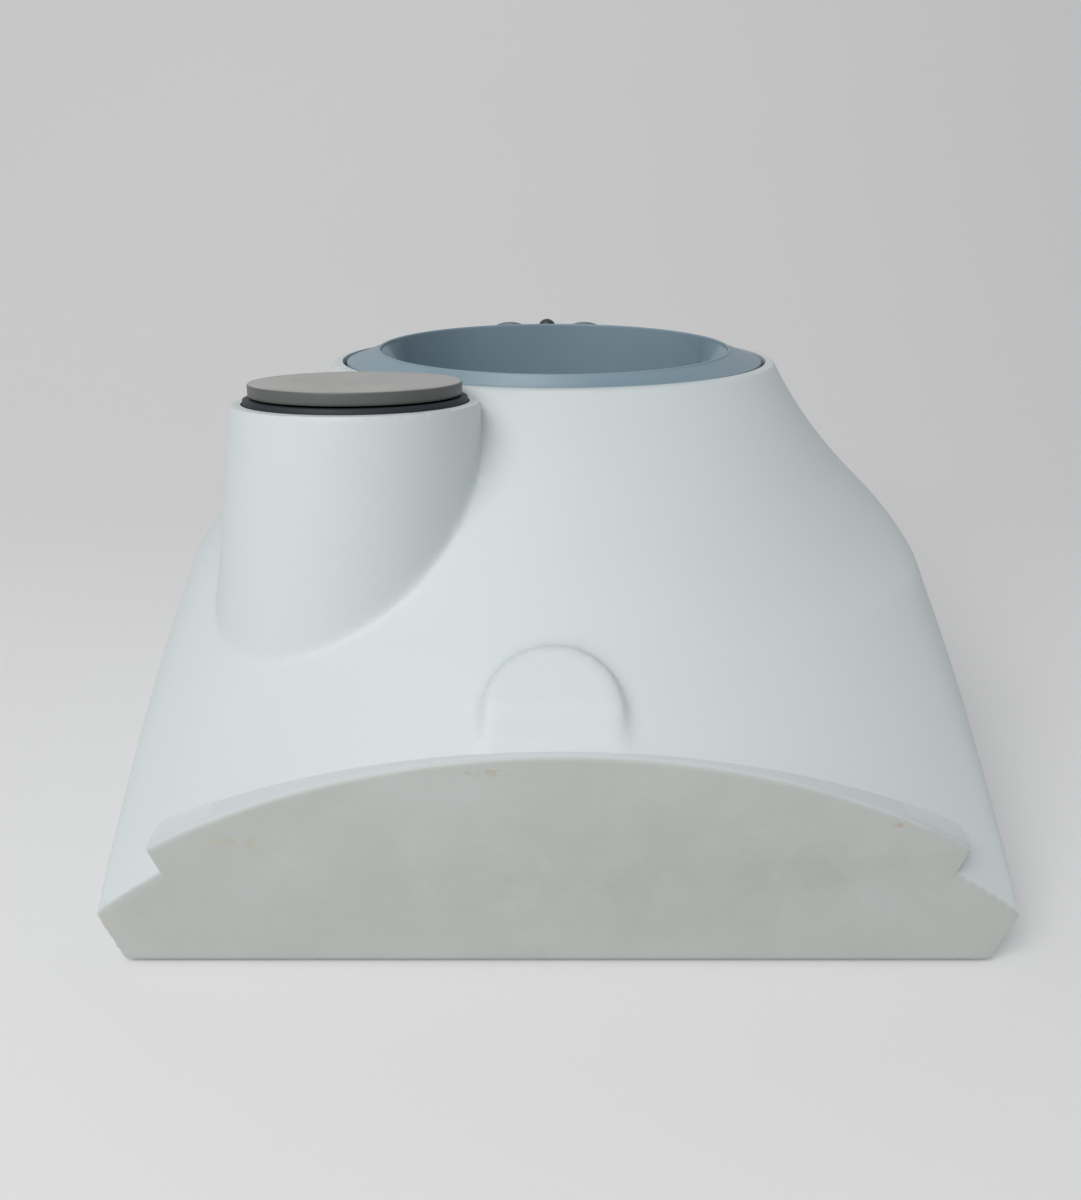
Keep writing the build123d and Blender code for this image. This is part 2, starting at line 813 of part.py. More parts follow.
# Motor: flanged can on the base plate, with bearings, stator and the magnet rotor on its shaft
can_top = plate_top + motor_height
rotor_top = sump_floor - cup_wall - air_gap
with BuildPart() as motor_can:
    with BuildSketch(Plane.XY.offset(plate_top)):
        with Locations((0, lip_y)):
            Circle(motor_radius)
    extrude(amount=motor_height)
    with BuildSketch(Plane.XY.offset(plate_top)):
        with Locations((0, lip_y)):
            Circle(motor_flange_radius)
        with Locations(*motor_screw_places):
            Circle(screw_radius, mode=Mode.SUBTRACT)
    extrude(amount=motor_flange_thickness)
    with BuildSketch(Plane.XY.offset(plate_top + motor_flange_thickness)):
        with Locations((0, lip_y)):
            Circle(motor_radius - motor_wall)
    extrude(amount=motor_height - motor_flange_thickness - motor_wall, mode=Mode.SUBTRACT)
    with BuildSketch(Plane.XY.offset(can_top - bearing_height)):
        with Locations((0, lip_y)):
            Circle(bearing_radius)
    extrude(amount=bearing_height, mode=Mode.SUBTRACT)
save(motor_can, "motor_can")

with BuildPart() as motor_bearings:
    for level in (plate_top + motor_flange_thickness, can_top - bearing_height):
        with BuildSketch(Plane.XY.offset(level)):
            with Locations((0, lip_y)):
                Circle(bearing_radius)
                Circle(shaft_radius + running_gap, mode=Mode.SUBTRACT)
        extrude(amount=bearing_height)
save(motor_bearings, "motor_bearings")

with BuildPart() as motor_stator:
    with BuildSketch(Plane.XY.offset(plate_top + motor_flange_thickness + fit_gap)):
        with Locations((0, lip_y)):
            Circle(motor_radius - motor_wall)
            Circle(armature_radius + stator_gap, mode=Mode.SUBTRACT)
    extrude(amount=stator_height)
save(motor_stator, "motor_stator")

with BuildPart() as motor_screws:
    with Locations(*[(x, y, plate_top + motor_flange_thickness) for x, y in motor_screw_places]):
        add(screw(motor_screw_length))
save(motor_screws, "motor_screws")

with BuildPart() as motor_shaft:
    with BuildSketch(Plane.XY.offset(plate_top + motor_flange_thickness + fit_gap)):
        with Locations((0, lip_y)):
            Circle(shaft_radius)
    extrude(amount=rotor_top - plate_top - motor_flange_thickness - fit_gap)
save(motor_shaft, "motor_shaft")

with BuildPart() as motor_armature:
    with BuildSketch(Plane.XY.offset(plate_top + motor_flange_thickness + bearing_height + fit_gap)):
        with Locations((0, lip_y)):
            Circle(armature_radius)
            Circle(shaft_radius, mode=Mode.SUBTRACT)
    extrude(amount=armature_height)
save(motor_armature, "motor_armature")

with BuildPart() as drive_rotor:
    with BuildSketch(Plane.XY.offset(rotor_top)):
        with Locations((0, lip_y)):
            Circle(rotor_radius)
            Circle(shaft_radius, mode=Mode.SUBTRACT)
    extrude(amount=-rotor_height)
    with BuildSketch(Plane.XY.offset(rotor_top)):
        with Locations((0, lip_y)):
            Circle(magnet_radius)
            Circle(impeller_hub_radius, mode=Mode.SUBTRACT)
    extrude(amount=-magnet_thickness, mode=Mode.SUBTRACT)
save(drive_rotor, "drive_rotor")

with BuildPart() as drive_magnet:
    with BuildSketch(Plane.XY.offset(rotor_top)):
        with Locations((0, lip_y)):
            Circle(magnet_radius)
            Circle(impeller_hub_radius, mode=Mode.SUBTRACT)
    extrude(amount=-magnet_thickness)
save(drive_magnet, "drive_magnet")

# Heater band round the cup, split at the back where its two terminals stand
band_radius = cup_radius + band_gap + band_thickness
with BuildPart() as heater_band:
    with BuildSketch(Plane.XY.offset(band_base)):
        with Locations((0, lip_y)):
            Circle(band_radius)
            Circle(band_radius - band_thickness, mode=Mode.SUBTRACT)
        with Locations((0, lip_y + band_radius)):
            Rectangle(band_split, 8 * band_thickness, mode=Mode.SUBTRACT)
    extrude(amount=band_height)
save(heater_band, "heater_band")

with BuildPart() as heater_terminals:
    with BuildSketch(Plane.XY.offset(band_base + band_height / 2)):
        with Locations(*[(side * terminal_size, lip_y + band_radius) for side in (-1, 1)]):
            Rectangle(terminal_size, 2 * terminal_size)
        with Locations((0, lip_y)):
            Circle(band_radius, mode=Mode.SUBTRACT)
    extrude(amount=terminal_size)
save(heater_terminals, "heater_terminals")

# Thermal cut-out against the underside of the cup's floor
with BuildPart() as thermal_cutout:
    with BuildSketch(Plane.XY.offset(cup_base)):
        with Locations((cutout_x, lip_y)):
            Circle(cutout_radius)
    extrude(amount=-cutout_height)
    with BuildSketch(Plane.XY.offset(cup_base - cutout_height)):
        with Locations((cutout_x, lip_y)):
            with GridLocations(cutout_radius, 0, 2, 1):
                Rectangle(1, terminal_size)
    extrude(amount=-terminal_size)
save(thermal_cutout, "thermal_cutout")

# Temperature probe in its grommet through the cup's flat
with BuildPart() as probe_grommet:
    with BuildSketch(Plane.YZ.offset(cup_flat)):
        with Locations((lip_y, probe_height)):
            Circle(grommet_radius)
    extrude(amount=grommet_length)
    with BuildSketch(Plane.YZ.offset(cup_flat)):
        with Locations((lip_y, probe_height)):
            Circle(grommet_radius + seat_proud)
    extrude(amount=-seat_proud)
    with BuildSketch(Plane.YZ.offset(0)):
        with Locations((lip_y, probe_height)):
            Circle(probe_radius)
    extrude(amount=2 * cup_flat, mode=Mode.SUBTRACT)
save(probe_grommet, "probe_grommet")

with BuildPart() as temperature_probe:
    with BuildSketch(Plane.YZ.offset(cup_flat - probe_reach)):
        with Locations((lip_y, probe_height)):
            Circle(probe_radius)
    extrude(amount=probe_length)
    fillet(temperature_probe.edges().sort_by(Axis.X)[0], radius=0.9 * probe_radius)
save(temperature_probe, "temperature_probe")

# Power board on the plate's standoffs, with its larger components
board_top = plate_top + standoff_height + board_thickness
with BuildPart() as power_board:
    with BuildSketch(Plane.XY.offset(plate_top + standoff_height)):
        with Locations((power_x, power_y)):
            Rectangle(power_width, power_length)
        with Locations(*standoff_places):
            Circle(screw_radius, mode=Mode.SUBTRACT)
    extrude(amount=board_thickness)
save(power_board, "power_board")

with BuildPart() as power_screws:
    with Locations(*[(x, y, board_top) for x, y in standoff_places]):
        add(screw(board_screw_length))
save(power_screws, "power_screws")

with BuildPart() as transformer:
    with BuildSketch(Plane.XY.offset(board_top)):
        with Locations((power_x, power_y - transformer_shift)):
            Rectangle(transformer_width, transformer_depth)
    extrude(amount=transformer_height)
    chamfer(transformer.edges().filter_by(Axis.Z), length=2)
    with BuildSketch(Plane.XY.offset(board_top + transformer_height / 4)):
        with Locations((power_x, power_y - transformer_shift)):
            Rectangle(transformer_width + 4, transformer_depth - 10)
    extrude(amount=transformer_height / 2)
save(transformer, "transformer")

with BuildPart() as heater_relay:
    with BuildSketch(Plane.XY.offset(board_top)):
        with Locations((power_x - 8, power_y + 24)):
            Rectangle(relay_width, relay_length)
    extrude(amount=relay_height)
    chamfer(heater_relay.edges().group_by(Axis.Z)[-1], length=0.8)
save(heater_relay, "heater_relay")

with BuildPart() as filter_capacitor:
    with BuildSketch(Plane.XY.offset(board_top)):
        with Locations((power_x + 10.5, power_y + 22)):
            Circle(capacitor_radius)
    extrude(amount=capacitor_height)
    fillet(filter_capacitor.edges().group_by(Axis.Z)[-1], radius=1)
save(filter_capacitor, "filter_capacitor")

# Mains inlet behind the right wall, its socket flush with the outside
inlet_face = body_width / 2
with BuildPart() as mains_inlet:
    with BuildSketch(Plane.YZ.offset(inlet_face)):
        with Locations((inlet_y, inlet_z)):
            Rectangle(inlet_width - fit_gap, inlet_height - fit_gap)
    extrude(amount=-inlet_depth)
    with BuildSketch(Plane.YZ.offset(inlet_face - wall)):
        with Locations((inlet_y, inlet_z)):
            Rectangle(inlet_flange_width, inlet_flange_height)
        with Locations(*inlet_screw_places):
            Circle(screw_radius, mode=Mode.SUBTRACT)
    extrude(amount=-inlet_flange_thickness)
    with BuildSketch(Plane.YZ.offset(inlet_face)):
        with Locations((inlet_y, inlet_z)):
            RectangleRounded(socket_width, socket_height, socket_round)
    extrude(amount=-inlet_socket_depth, mode=Mode.SUBTRACT)
save(mains_inlet, "mains_inlet")

with BuildPart() as inlet_pins:
    with BuildSketch(Plane.YZ.offset(inlet_face - inlet_socket_depth)):
        with Locations(
            (inlet_y - pin_pitch, inlet_z - pin_rise),
            (inlet_y + pin_pitch, inlet_z - pin_rise),
            (inlet_y, inlet_z + pin_rise),
        ):
            Rectangle(pin_blade, pin_width)
    extrude(amount=inlet_socket_depth - wall)
save(inlet_pins, "inlet_pins")

with BuildPart() as inlet_screws:
    with Locations(
        *[Pos(inlet_face - screw_head_height, y, z) * Rot(0, 90, 0) for y, z in inlet_screw_places]
    ):
        add(screw(inlet_screw_length))
save(inlet_screws, "inlet_screws")
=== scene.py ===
"""A countertop circulating water bath: white moulded hood, grey well liner, turret with a dial, three buttons."""
import math

import bmesh
import bpy
from mathutils import Matrix, Vector


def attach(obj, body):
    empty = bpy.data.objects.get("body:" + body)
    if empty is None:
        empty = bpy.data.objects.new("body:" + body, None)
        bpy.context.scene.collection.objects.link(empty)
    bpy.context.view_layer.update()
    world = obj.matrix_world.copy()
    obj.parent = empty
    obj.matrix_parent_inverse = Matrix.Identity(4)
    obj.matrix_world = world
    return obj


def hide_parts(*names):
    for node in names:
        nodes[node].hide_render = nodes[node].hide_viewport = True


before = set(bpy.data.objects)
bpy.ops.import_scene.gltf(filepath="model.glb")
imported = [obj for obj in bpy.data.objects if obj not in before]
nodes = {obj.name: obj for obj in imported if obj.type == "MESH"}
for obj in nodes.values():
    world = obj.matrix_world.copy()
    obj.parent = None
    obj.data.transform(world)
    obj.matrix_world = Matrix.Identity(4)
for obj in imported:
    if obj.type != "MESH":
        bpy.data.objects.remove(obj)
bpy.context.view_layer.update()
scene = bpy.context.scene
scene.view_settings.view_transform = "Standard"

# Moulded plastic
# Every outer piece is injection moulded, with a fine spark-eroded grain and slow changes of shade.
# One group gives that grain and shade, and a second one gives a mark at a place on the surface.
mm = 0.001


def group_tree(name, inputs, outputs):
    """A shader node group with named sockets, and its input and output nodes."""
    tree = bpy.data.node_groups.new(name, "ShaderNodeTree")
    for label, kind, value in inputs:
        socket = tree.interface.new_socket(label, in_out="INPUT", socket_type=kind)
        socket.default_value = value
    for label, kind in outputs:
        tree.interface.new_socket(label, in_out="OUTPUT", socket_type=kind)
    return tree, tree.nodes.new("NodeGroupInput"), tree.nodes.new("NodeGroupOutput")


def add_node(tree, kind, values=None, **settings):
    """A node with its settings and the values of its input sockets."""
    node = tree.nodes.new(kind)
    for key, value in settings.items():
        setattr(node, key, value)
    for key, value in (values or {}).items():
        node.inputs[key].default_value = value
    return node


grain, grain_in, grain_out = group_tree(
    "moulded_grain",
    [
        ("Shade Scale", "NodeSocketFloat", 20.0),
        ("Grain Scale", "NodeSocketFloat", 900.0),
        ("Speck Scale", "NodeSocketFloat", 300.0),
    ],
    [("Shade", "NodeSocketFloat"), ("Height", "NodeSocketFloat"), ("Specks", "NodeSocketFloat")],
)
place = add_node(grain, "ShaderNodeTexCoord")
shade = add_node(grain, "ShaderNodeTexNoise", {"Detail": 3.0, "Roughness": 0.55})
fine = add_node(grain, "ShaderNodeTexNoise", {"Detail": 2.0, "Roughness": 0.6})
cells = add_node(grain, "ShaderNodeTexVoronoi", {"Randomness": 1.0}, feature="F1")
dots = add_node(grain, "ShaderNodeMapRange", {"From Min": 0.02, "From Max": 0.05, "To Min": 1.0, "To Max": 0.0})
keep = add_node(grain, "ShaderNodeMapRange", {"From Min": 0.96, "From Max": 0.97, "To Min": 0.0, "To Max": 1.0})
cell_hue = add_node(grain, "ShaderNodeSeparateColor")
speck = add_node(grain, "ShaderNodeMath", operation="MULTIPLY")
for texture, label in ((shade, "Shade Scale"), (fine, "Grain Scale"), (cells, "Speck Scale")):
    grain.links.new(place.outputs["Object"], texture.inputs["Vector"])
    grain.links.new(grain_in.outputs[label], texture.inputs["Scale"])
grain.links.new(cells.outputs["Distance"], dots.inputs["Value"])
grain.links.new(cells.outputs["Color"], cell_hue.inputs["Color"])
grain.links.new(cell_hue.outputs["Red"], keep.inputs["Value"])
grain.links.new(dots.outputs["Result"], speck.inputs[0])
grain.links.new(keep.outputs["Result"], speck.inputs[1])
grain.links.new(shade.outputs["Fac"], grain_out.inputs["Shade"])
grain.links.new(fine.outputs["Fac"], grain_out.inputs["Height"])
grain.links.new(speck.outputs["Value"], grain_out.inputs["Specks"])

mark, mark_in, mark_out = group_tree(
    "surface_mark",
    [
        ("Centre", "NodeSocketVector", (0.0, 0.0, 0.0)),
        ("Reach", "NodeSocketVector", (0.01, 0.01, 0.01)),
        ("Break Up", "NodeSocketFloat", 300.0),
    ],
    [("Mask", "NodeSocketFloat")],
)
place = add_node(mark, "ShaderNodeTexCoord")
offset = add_node(mark, "ShaderNodeVectorMath", operation="SUBTRACT")
scaled = add_node(mark, "ShaderNodeVectorMath", operation="DIVIDE")
length = add_node(mark, "ShaderNodeVectorMath", operation="LENGTH")
inside = add_node(mark, "ShaderNodeMapRange", {"From Min": 0.35, "From Max": 1.0, "To Min": 1.0, "To Max": 0.0})
ragged = add_node(mark, "ShaderNodeTexNoise", {"Detail": 4.0, "Roughness": 0.65})
lifted = add_node(mark, "ShaderNodeMapRange", {"From Min": 0.42, "From Max": 0.62, "To Min": 0.0, "To Max": 1.0})
product = add_node(mark, "ShaderNodeMath", operation="MULTIPLY")
mark.links.new(place.outputs["Object"], offset.inputs[0])
mark.links.new(mark_in.outputs["Centre"], offset.inputs[1])
mark.links.new(offset.outputs["Vector"], scaled.inputs[0])
mark.links.new(mark_in.outputs["Reach"], scaled.inputs[1])
mark.links.new(scaled.outputs["Vector"], length.inputs[0])
mark.links.new(length.outputs["Value"], inside.inputs["Value"])
mark.links.new(place.outputs["Object"], ragged.inputs["Vector"])
mark.links.new(mark_in.outputs["Break Up"], ragged.inputs["Scale"])
mark.links.new(ragged.outputs["Fac"], lifted.inputs["Value"])
mark.links.new(inside.outputs["Result"], product.inputs[0])
mark.links.new(lifted.outputs["Result"], product.inputs[1])
mark.links.new(product.outputs["Value"], mark_out.inputs["Mask"])


def moulded(name, light, dark, roughness, bump, speck_colour, scales=(20.0, 900.0, 300.0), metallic=0.0, marks=()):
    """A material whose shade wanders between two colours, with grain, specks and placed marks."""
    made = bpy.data.materials.new(name)
    made.use_nodes = True
    tree = made.node_tree
    surface = tree.nodes["Principled BSDF"]
    surface.inputs["Metallic"].default_value = metallic
    texture = add_node(tree, "ShaderNodeGroup")
    texture.node_tree = grain
    for label, value in zip(("Shade Scale", "Grain Scale", "Speck Scale"), scales):
        texture.inputs[label].default_value = value
    ramp = add_node(tree, "ShaderNodeValToRGB")
    ramp.color_ramp.elements[0].position = 0.30
    ramp.color_ramp.elements[1].position = 0.70
    ramp.color_ramp.elements[0].color = (*dark, 1.0)
    ramp.color_ramp.elements[1].color = (*light, 1.0)
    tree.links.new(texture.outputs["Shade"], ramp.inputs["Fac"])
    colour = ramp.outputs["Color"]
    masks = [(texture.outputs["Specks"], speck_colour)]
    for kind, values, tint in marks:
        spot = add_node(tree, "ShaderNodeGroup")
        spot.node_tree = kind
        for label, value in values.items():
            spot.inputs[label].default_value = value
        masks.append((spot.outputs["Mask"], tint))
    for mask, tint in masks:
        layer = add_node(tree, "ShaderNodeMix", data_type="RGBA")
        layer.inputs[7].default_value = (*tint, 1.0)
        tree.links.new(mask, layer.inputs["Factor"])
        tree.links.new(colour, layer.inputs[6])
        colour = layer.outputs[2]
    tree.links.new(colour, surface.inputs["Base Color"])
    gloss = add_node(
        tree,
        "ShaderNodeMapRange",
        {"From Min": 0.3, "From Max": 0.7, "To Min": roughness - 0.05, "To Max": roughness + 0.05},
    )
    tree.links.new(texture.outputs["Shade"], gloss.inputs["Value"])
    tree.links.new(gloss.outputs["Result"], surface.inputs["Roughness"])
    relief = add_node(tree, "ShaderNodeBump", {"Strength": bump, "Distance": 0.0002})
    tree.links.new(texture.outputs["Height"], relief.inputs["Height"])
    tree.links.new(relief.outputs["Normal"], surface.inputs["Normal"])
    return made


# Hood
# The white outer body is one moulding: a bell that runs out from its rim to a straight-sided block.
# A round turret, an arched rear flange and a low half-round pad grow out of it with soft fillets.
half_width = 120.0
half_depth = 129.0
rim_height = 135.0
foot_height = 1.2
wall = 3.0
slope_wall = 4.2
skirt_top = 15.0
skirt_inset = 5.5
rim_front = -46.0
front_run = 1.107
rim_back = 100.2
back_run = 0.235
rim_half = 73.2
flare = 0.43
flare_curve = 0.0077
flare_end = 57.0
lower_flare = 0.66
edge_round = 0.5
shoulder_round = 15.0
shoulder_low = 20.0
shoulder_rise = 50.0
rim_centre = (0.0, 28.2, 130.9)
rim_lean = 3.2
opening = (72.6, 70.2)
turret_place = (-55.9, -56.4, 134.2)
turret_lean = 6.0
turret_radius = 34.5
turret_draft = math.tan(math.radians(4.6))
turret_side_lean = math.tan(math.radians(4.75))
front_soft = 3.0
rear_soft = 0.6
segments = 360


def leaning(point, lean):
    """Matrix of a level plane at a point, leant by some degrees towards +Y."""
    return Matrix.Translation(point) @ Matrix.Rotation(math.radians(-lean), 4, "X")


rim = leaning(rim_centre, rim_lean)
turret = leaning(turret_place, turret_lean)


def soft_min(a, b, blend):
    """The smaller of two numbers, rounded over a band of some width."""
    h = max(blend - abs(a - b), 0.0) / blend
    return min(a, b) - h * h * blend * 0.25


def quads(rings, count, loop=False):
    """Faces between successive closed rings, with the ends capped or joined to each other."""
    faces = []
    for r in range(rings if loop else rings - 1):
        a = r * count
        b = (r + 1) % rings * count
        faces += [(a + i, a + (i + 1) % count, b + (i + 1) % count, b + i) for i in range(count)]
    if not loop:
        faces.append(tuple(range(count - 1, -1, -1)))
        faces.append(tuple(range((rings - 1) * count, rings * count)))
    return faces


def oval(matrix, half_x, half_y, height, flat=None, count=segments):
    """Points of an oval in a plane, with its sides pulled in to flats when they are given."""
    points = []
    for i in range(count):
        t = math.tau * i / count
        x = half_x * math.cos(t)
        if flat:
            x = math.copysign(soft_min(abs(x), flat, 1.0), x)
        points.append(matrix @ Vector((x, half_y * math.sin(t), height)))
    return points


def turned(matrix, profile, loop=False, count=segments):
    """Points and faces of a form turned about a plane's normal from (radius, height) pairs."""
    points = []
    for radius, height in profile:
        points += oval(matrix, radius, radius, height, None, count)
    return points, quads(len(profile), count, loop)


def prism(outline, low, high, matrix):
    """Points and faces of an outline drawn out between two heights."""
    points = [matrix @ Vector((x, y, h)) for h in (low, high) for x, y in outline]
    return points, quads(2, len(outline))


def piece(name, *forms):
    """One mesh object from closed forms in millimetres, with every face turned outwards."""
    points = []
    faces = []
    for form_points, form_faces in forms:
        faces += [tuple(len(points) + i for i in face) for face in form_faces]
        points += form_points
    mesh = bpy.data.meshes.new(name)
    mesh.from_pydata([Vector(p) * mm for p in points], [], faces)
    solid = bmesh.new()
    solid.from_mesh(mesh)
    bmesh.ops.recalc_face_normals(solid, faces=solid.faces)
    solid.to_mesh(mesh)
    solid.free()
    made = bpy.data.objects.new(name, mesh)
    scene.collection.objects.link(made)
    return made


def bake(thing):
    """Makes the result of an object's modifiers its plain mesh."""
    graph = bpy.context.evaluated_depsgraph_get()
    mesh = bpy.data.meshes.new_from_object(thing.evaluated_get(graph))
    thing.modifiers.clear()
    thing.data = mesh


def combine(thing, operation, *forms):
    """Adds closed forms to a piece, or takes them out of it, one after the other."""
    for form in forms:
        tool = piece("tool", form)
        step = thing.modifiers.new("combine", "BOOLEAN")
        step.operation = operation
        step.solver = "MANIFOLD"
        step.object = tool
        bake(thing)
        bpy.data.objects.remove(tool)


def settle(thing, material, body, slot, *replaced, angle=35.0):
    """Smooths a piece between its sharp edges and gives it its material, body and replaced nodes; its slot argument is
    not used.
    """
    thing.data.materials.clear()
    thing.data.materials.append(material)
    thing.data.shade_smooth()
    thing.data.set_sharp_from_angle(angle=math.radians(angle))
    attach(thing, body)
    if replaced:
        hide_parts(*replaced)


def bell_ring(drop, inset):
    """Middle, half-width and half-depth of the bell at this drop below the rim."""
    curved = min(drop, flare_end)
    straight = max(drop - flare_end, 0.0)
    half = rim_half + flare * curved + flare_curve * curved * abs(curved) + lower_flare * straight - inset
    front = rim_front - front_run * drop + inset
    back = rim_back + back_run * drop - inset
    depth = min((back - front) / 2, half - 0.1)
    return front + depth, half, depth


def bell(inset, slope_inset, low, high, levels, count):
    """The bell held in by the block's side walls and the rear plane, with a shoulder that softens upwards."""
    points = []
    for k in range(levels + 1):
        z = low + (high - low) * k / levels
        middle, half, depth = bell_ring(rim_height - z, slope_inset)
        shoulder = edge_round + shoulder_round * min(max((z - shoulder_low) / shoulder_rise, 0.0), 1.0)
        side = half_width - inset - skirt_inset * max(skirt_top - z, 0.0) / (skirt_top - foot_height)
        for i in range(count):
            t = math.tau * (i + 0.5) / count
            x = half * math.cos(t)
            y = middle + depth * math.sin(t)
            x = math.copysign(soft_min(abs(x), side, shoulder), x)
            y = soft_min(y, half_depth - inset, front_soft)
            y = -soft_min(-y, half_depth - inset, rear_soft)
            points.append(Vector((x, y, z)))
    return points, quads(levels + 1, count)


arch_half = 105.0
arch_peak = 62.5
arch_end = 35.5
arch_radius = (arch_half ** 2 + (arch_peak - arch_end) ** 2) / (2 * (arch_peak - arch_end))
flange_round = 1.5
flange_depth = 34.0
notch_in = 4.5
notch_drop = 12.0


def flange_ring(inset, y):
    """Outline of the arched flange, drawn in by some millimetres, in a plane parallel to the rear."""
    side = arch_half - inset
    radius = arch_radius - inset
    turn = math.asin(side / radius)
    foot_z = arch_end - notch_drop
    ring = [Vector((side - notch_in, y, foot_z)), Vector((notch_in - side, y, foot_z))]
    for i in range(241):
        t = turn * (i / 120 - 1)
        ring.append(Vector((radius * math.sin(t), y, arch_peak - arch_radius + radius * math.cos(t))))
    return ring


flange_rings = [flange_ring(0.0, flange_depth - half_depth)]
for i in range(7):
    t = math.radians(15.0 * i)
    flange_rings.append(flange_ring(flange_round * (1 - math.cos(t)), flange_round * (1 - math.sin(t)) - half_depth))
flange = (sum(flange_rings, []), quads(len(flange_rings), len(flange_rings[0])))
pad_z = 61.0
pad_x = -1.4
pad_radius = 18.2
pad_straight = 12.0
slope_lean = Matrix.Rotation(math.atan2(1.0, front_run), 4, "X")
pad_plane = Matrix.Translation((0, rim_front - front_run * (rim_height - pad_z), pad_z)) @ slope_lean
pad_start = 2.5
pad_ramp = 12.0
pad_sink = -5.2
pad_low = 0.1
pad_stand = 2.5
pad_rows = [(pad_start + (pad_straight - pad_start) * i / 16, pad_radius) for i in range(16)]
for i in range(61):
    t = 0.5 * math.pi * i / 60
    pad_rows.append((pad_straight + pad_radius * math.sin(t), max(pad_radius * math.cos(t), 0.2)))
pad_points = []
for y, half in pad_rows:
    rise = min((y - pad_start) / pad_ramp, 1.0)
    top = pad_low + pad_stand * rise * rise * (3.0 - 2.0 * rise)
    for x, z in ((-half, pad_sink), (half, pad_sink), (half, top), (-half, top)):
        pad_points.append(pad_plane @ Vector((pad_x + x, y, z)))
pad = (pad_points, quads(len(pad_rows), 4))


def turret_cone(inset, top, length, count=segments):
    """The drafted turret, leaning sideways, from below the bell up to a height over its own rim plane."""
    foot = []
    head = []
    normal = turret.to_3x3() @ Vector((0, 0, 1))
    limit = (turret @ Vector((0, 0, top))).dot(normal)
    for i in range(count):
        t = math.tau * i / count
        ends = []
        for height in (-length, 10.0):
            reach = turret_radius - inset - height * turret_draft
            centre = Vector(turret_place) + Vector((turret_side_lean * height, 0, height))
            ends.append(centre + Vector((reach * math.cos(t), reach * math.sin(t), 0)))
        low, high = ends
        share = (limit - low.dot(normal)) / (high - low).dot(normal)
        foot.append(low)
        head.append(low.lerp(high, share))
    return foot + head, quads(2, count)


over_rim = 4.0
cut_half = 150.0
cut_rise = 30.0
turret_length = 100.0
corners = ((-1, -1), (1, -1), (1, 1), (-1, 1))
hood = piece("hood", bell(0.0, 0.0, foot_height, rim_height + over_rim, 110, segments))
combine(hood, "DIFFERENCE", prism([(a * cut_half, b * cut_half) for a, b in corners], 0.0, cut_rise, rim))
combine(hood, "UNION", turret_cone(0.0, 0.0, turret_length), pad)
fuse = hood.modifiers.new("fuse", "REMESH")
fuse.mode = "SHARP"
fuse.octree_depth = 8
fuse.scale = 0.8
fuse.use_remove_disconnected = True
relax = hood.modifiers.new("relax", "SMOOTH")
relax.factor = 0.5
relax.iterations = 3
bake(hood)
fillet_reach = 2.5
slope_share = 0.67
rim_margin = 4.0
pad_reach = 45.0
pad_band = 8.0
turret_foot = hood.vertex_groups.new(name="turret_foot")
pad_edge = hood.vertex_groups.new(name="pad_edge")
pad_inverse = pad_plane.inverted()
for vertex in hood.data.vertices:
    point = vertex.co / mm
    middle, half, depth = bell_ring(rim_height - point.z, 0.0)
    from_bell = abs(math.hypot(point.x / half, (point.y - middle) / depth) - 1.0) * depth * slope_share
    below = turret_place[2] - point.z
    axis_x = turret_place[0] - turret_side_lean * below
    from_axis = math.hypot(point.x - axis_x, point.y - turret_place[1])
    from_turret = abs(from_axis - turret_radius - below * turret_draft)
    weight = 2.0 - max(from_bell, from_turret) / fillet_reach
    if weight > 0.0 and below > rim_margin:
        turret_foot.add([vertex.index], min(1.0, weight), "REPLACE")
    local = pad_inverse @ point
    if 0.0 < local.y < pad_reach and abs(local.z) < pad_band:
        across = abs(local.x - pad_x)
        edge = abs(math.hypot(across, local.y - pad_straight) - pad_radius)
        if local.y < pad_straight:
            edge = abs(across - pad_radius)
        weight = 2.0 - edge / fillet_reach
        if weight > 0.0:
            pad_edge.add([vertex.index], min(1.0, weight), "REPLACE")
for group, steps in ((turret_foot, 12), (pad_edge, 18)):
    soften = hood.modifiers.new(group.name, "SMOOTH")
    soften.vertex_group = group.name
    soften.factor = 0.5
    soften.iterations = steps
bake(hood)
for vertex in hood.data.vertices:
    vertex.co.x = min(max(vertex.co.x, -half_width * mm), half_width * mm)
    vertex.co.y = min(max(vertex.co.y, -half_depth * mm), half_depth * mm)
combine(hood, "UNION", flange)
mouth = turret_radius - wall
mouth_floor = -9.5
turret_hollow_top = -9.0
cutter_rise = 20.0
mouth_profile = [(0.01, mouth_floor), (mouth, mouth_floor), (mouth, cutter_rise), (0.01, cutter_rise)]
opening_low = -5.0
socket_depth = 8.0
side_reach = half_width + 10.0
inlet_y = 20.0
inlet_z = 34.0
inlet_half = (13.5, 10.0)
inlet_screw_reach = 20.0
sink_radius = 3.05
sink_depth = 2.2
side_plane = Matrix(((0, 0, 1, 0), (1, 0, 0, 0), (0, 1, 0, 0), (0, 0, 0, 1)))
socket_outline = []
for a, b in corners:
    socket_outline.append((inlet_y + a * inlet_half[0], inlet_z + b * inlet_half[1]))
screw_sinks = []
inlet_screw_ys = (inlet_y - inlet_screw_reach, inlet_y + inlet_screw_reach)
for y in inlet_screw_ys:
    sink = []
    for i in range(48):
        t = math.tau * i / 48
        sink.append((y + sink_radius * math.cos(t), inlet_z + sink_radius * math.sin(t)))
    screw_sinks.append(prism(sink, half_width - sink_depth, side_reach, side_plane))
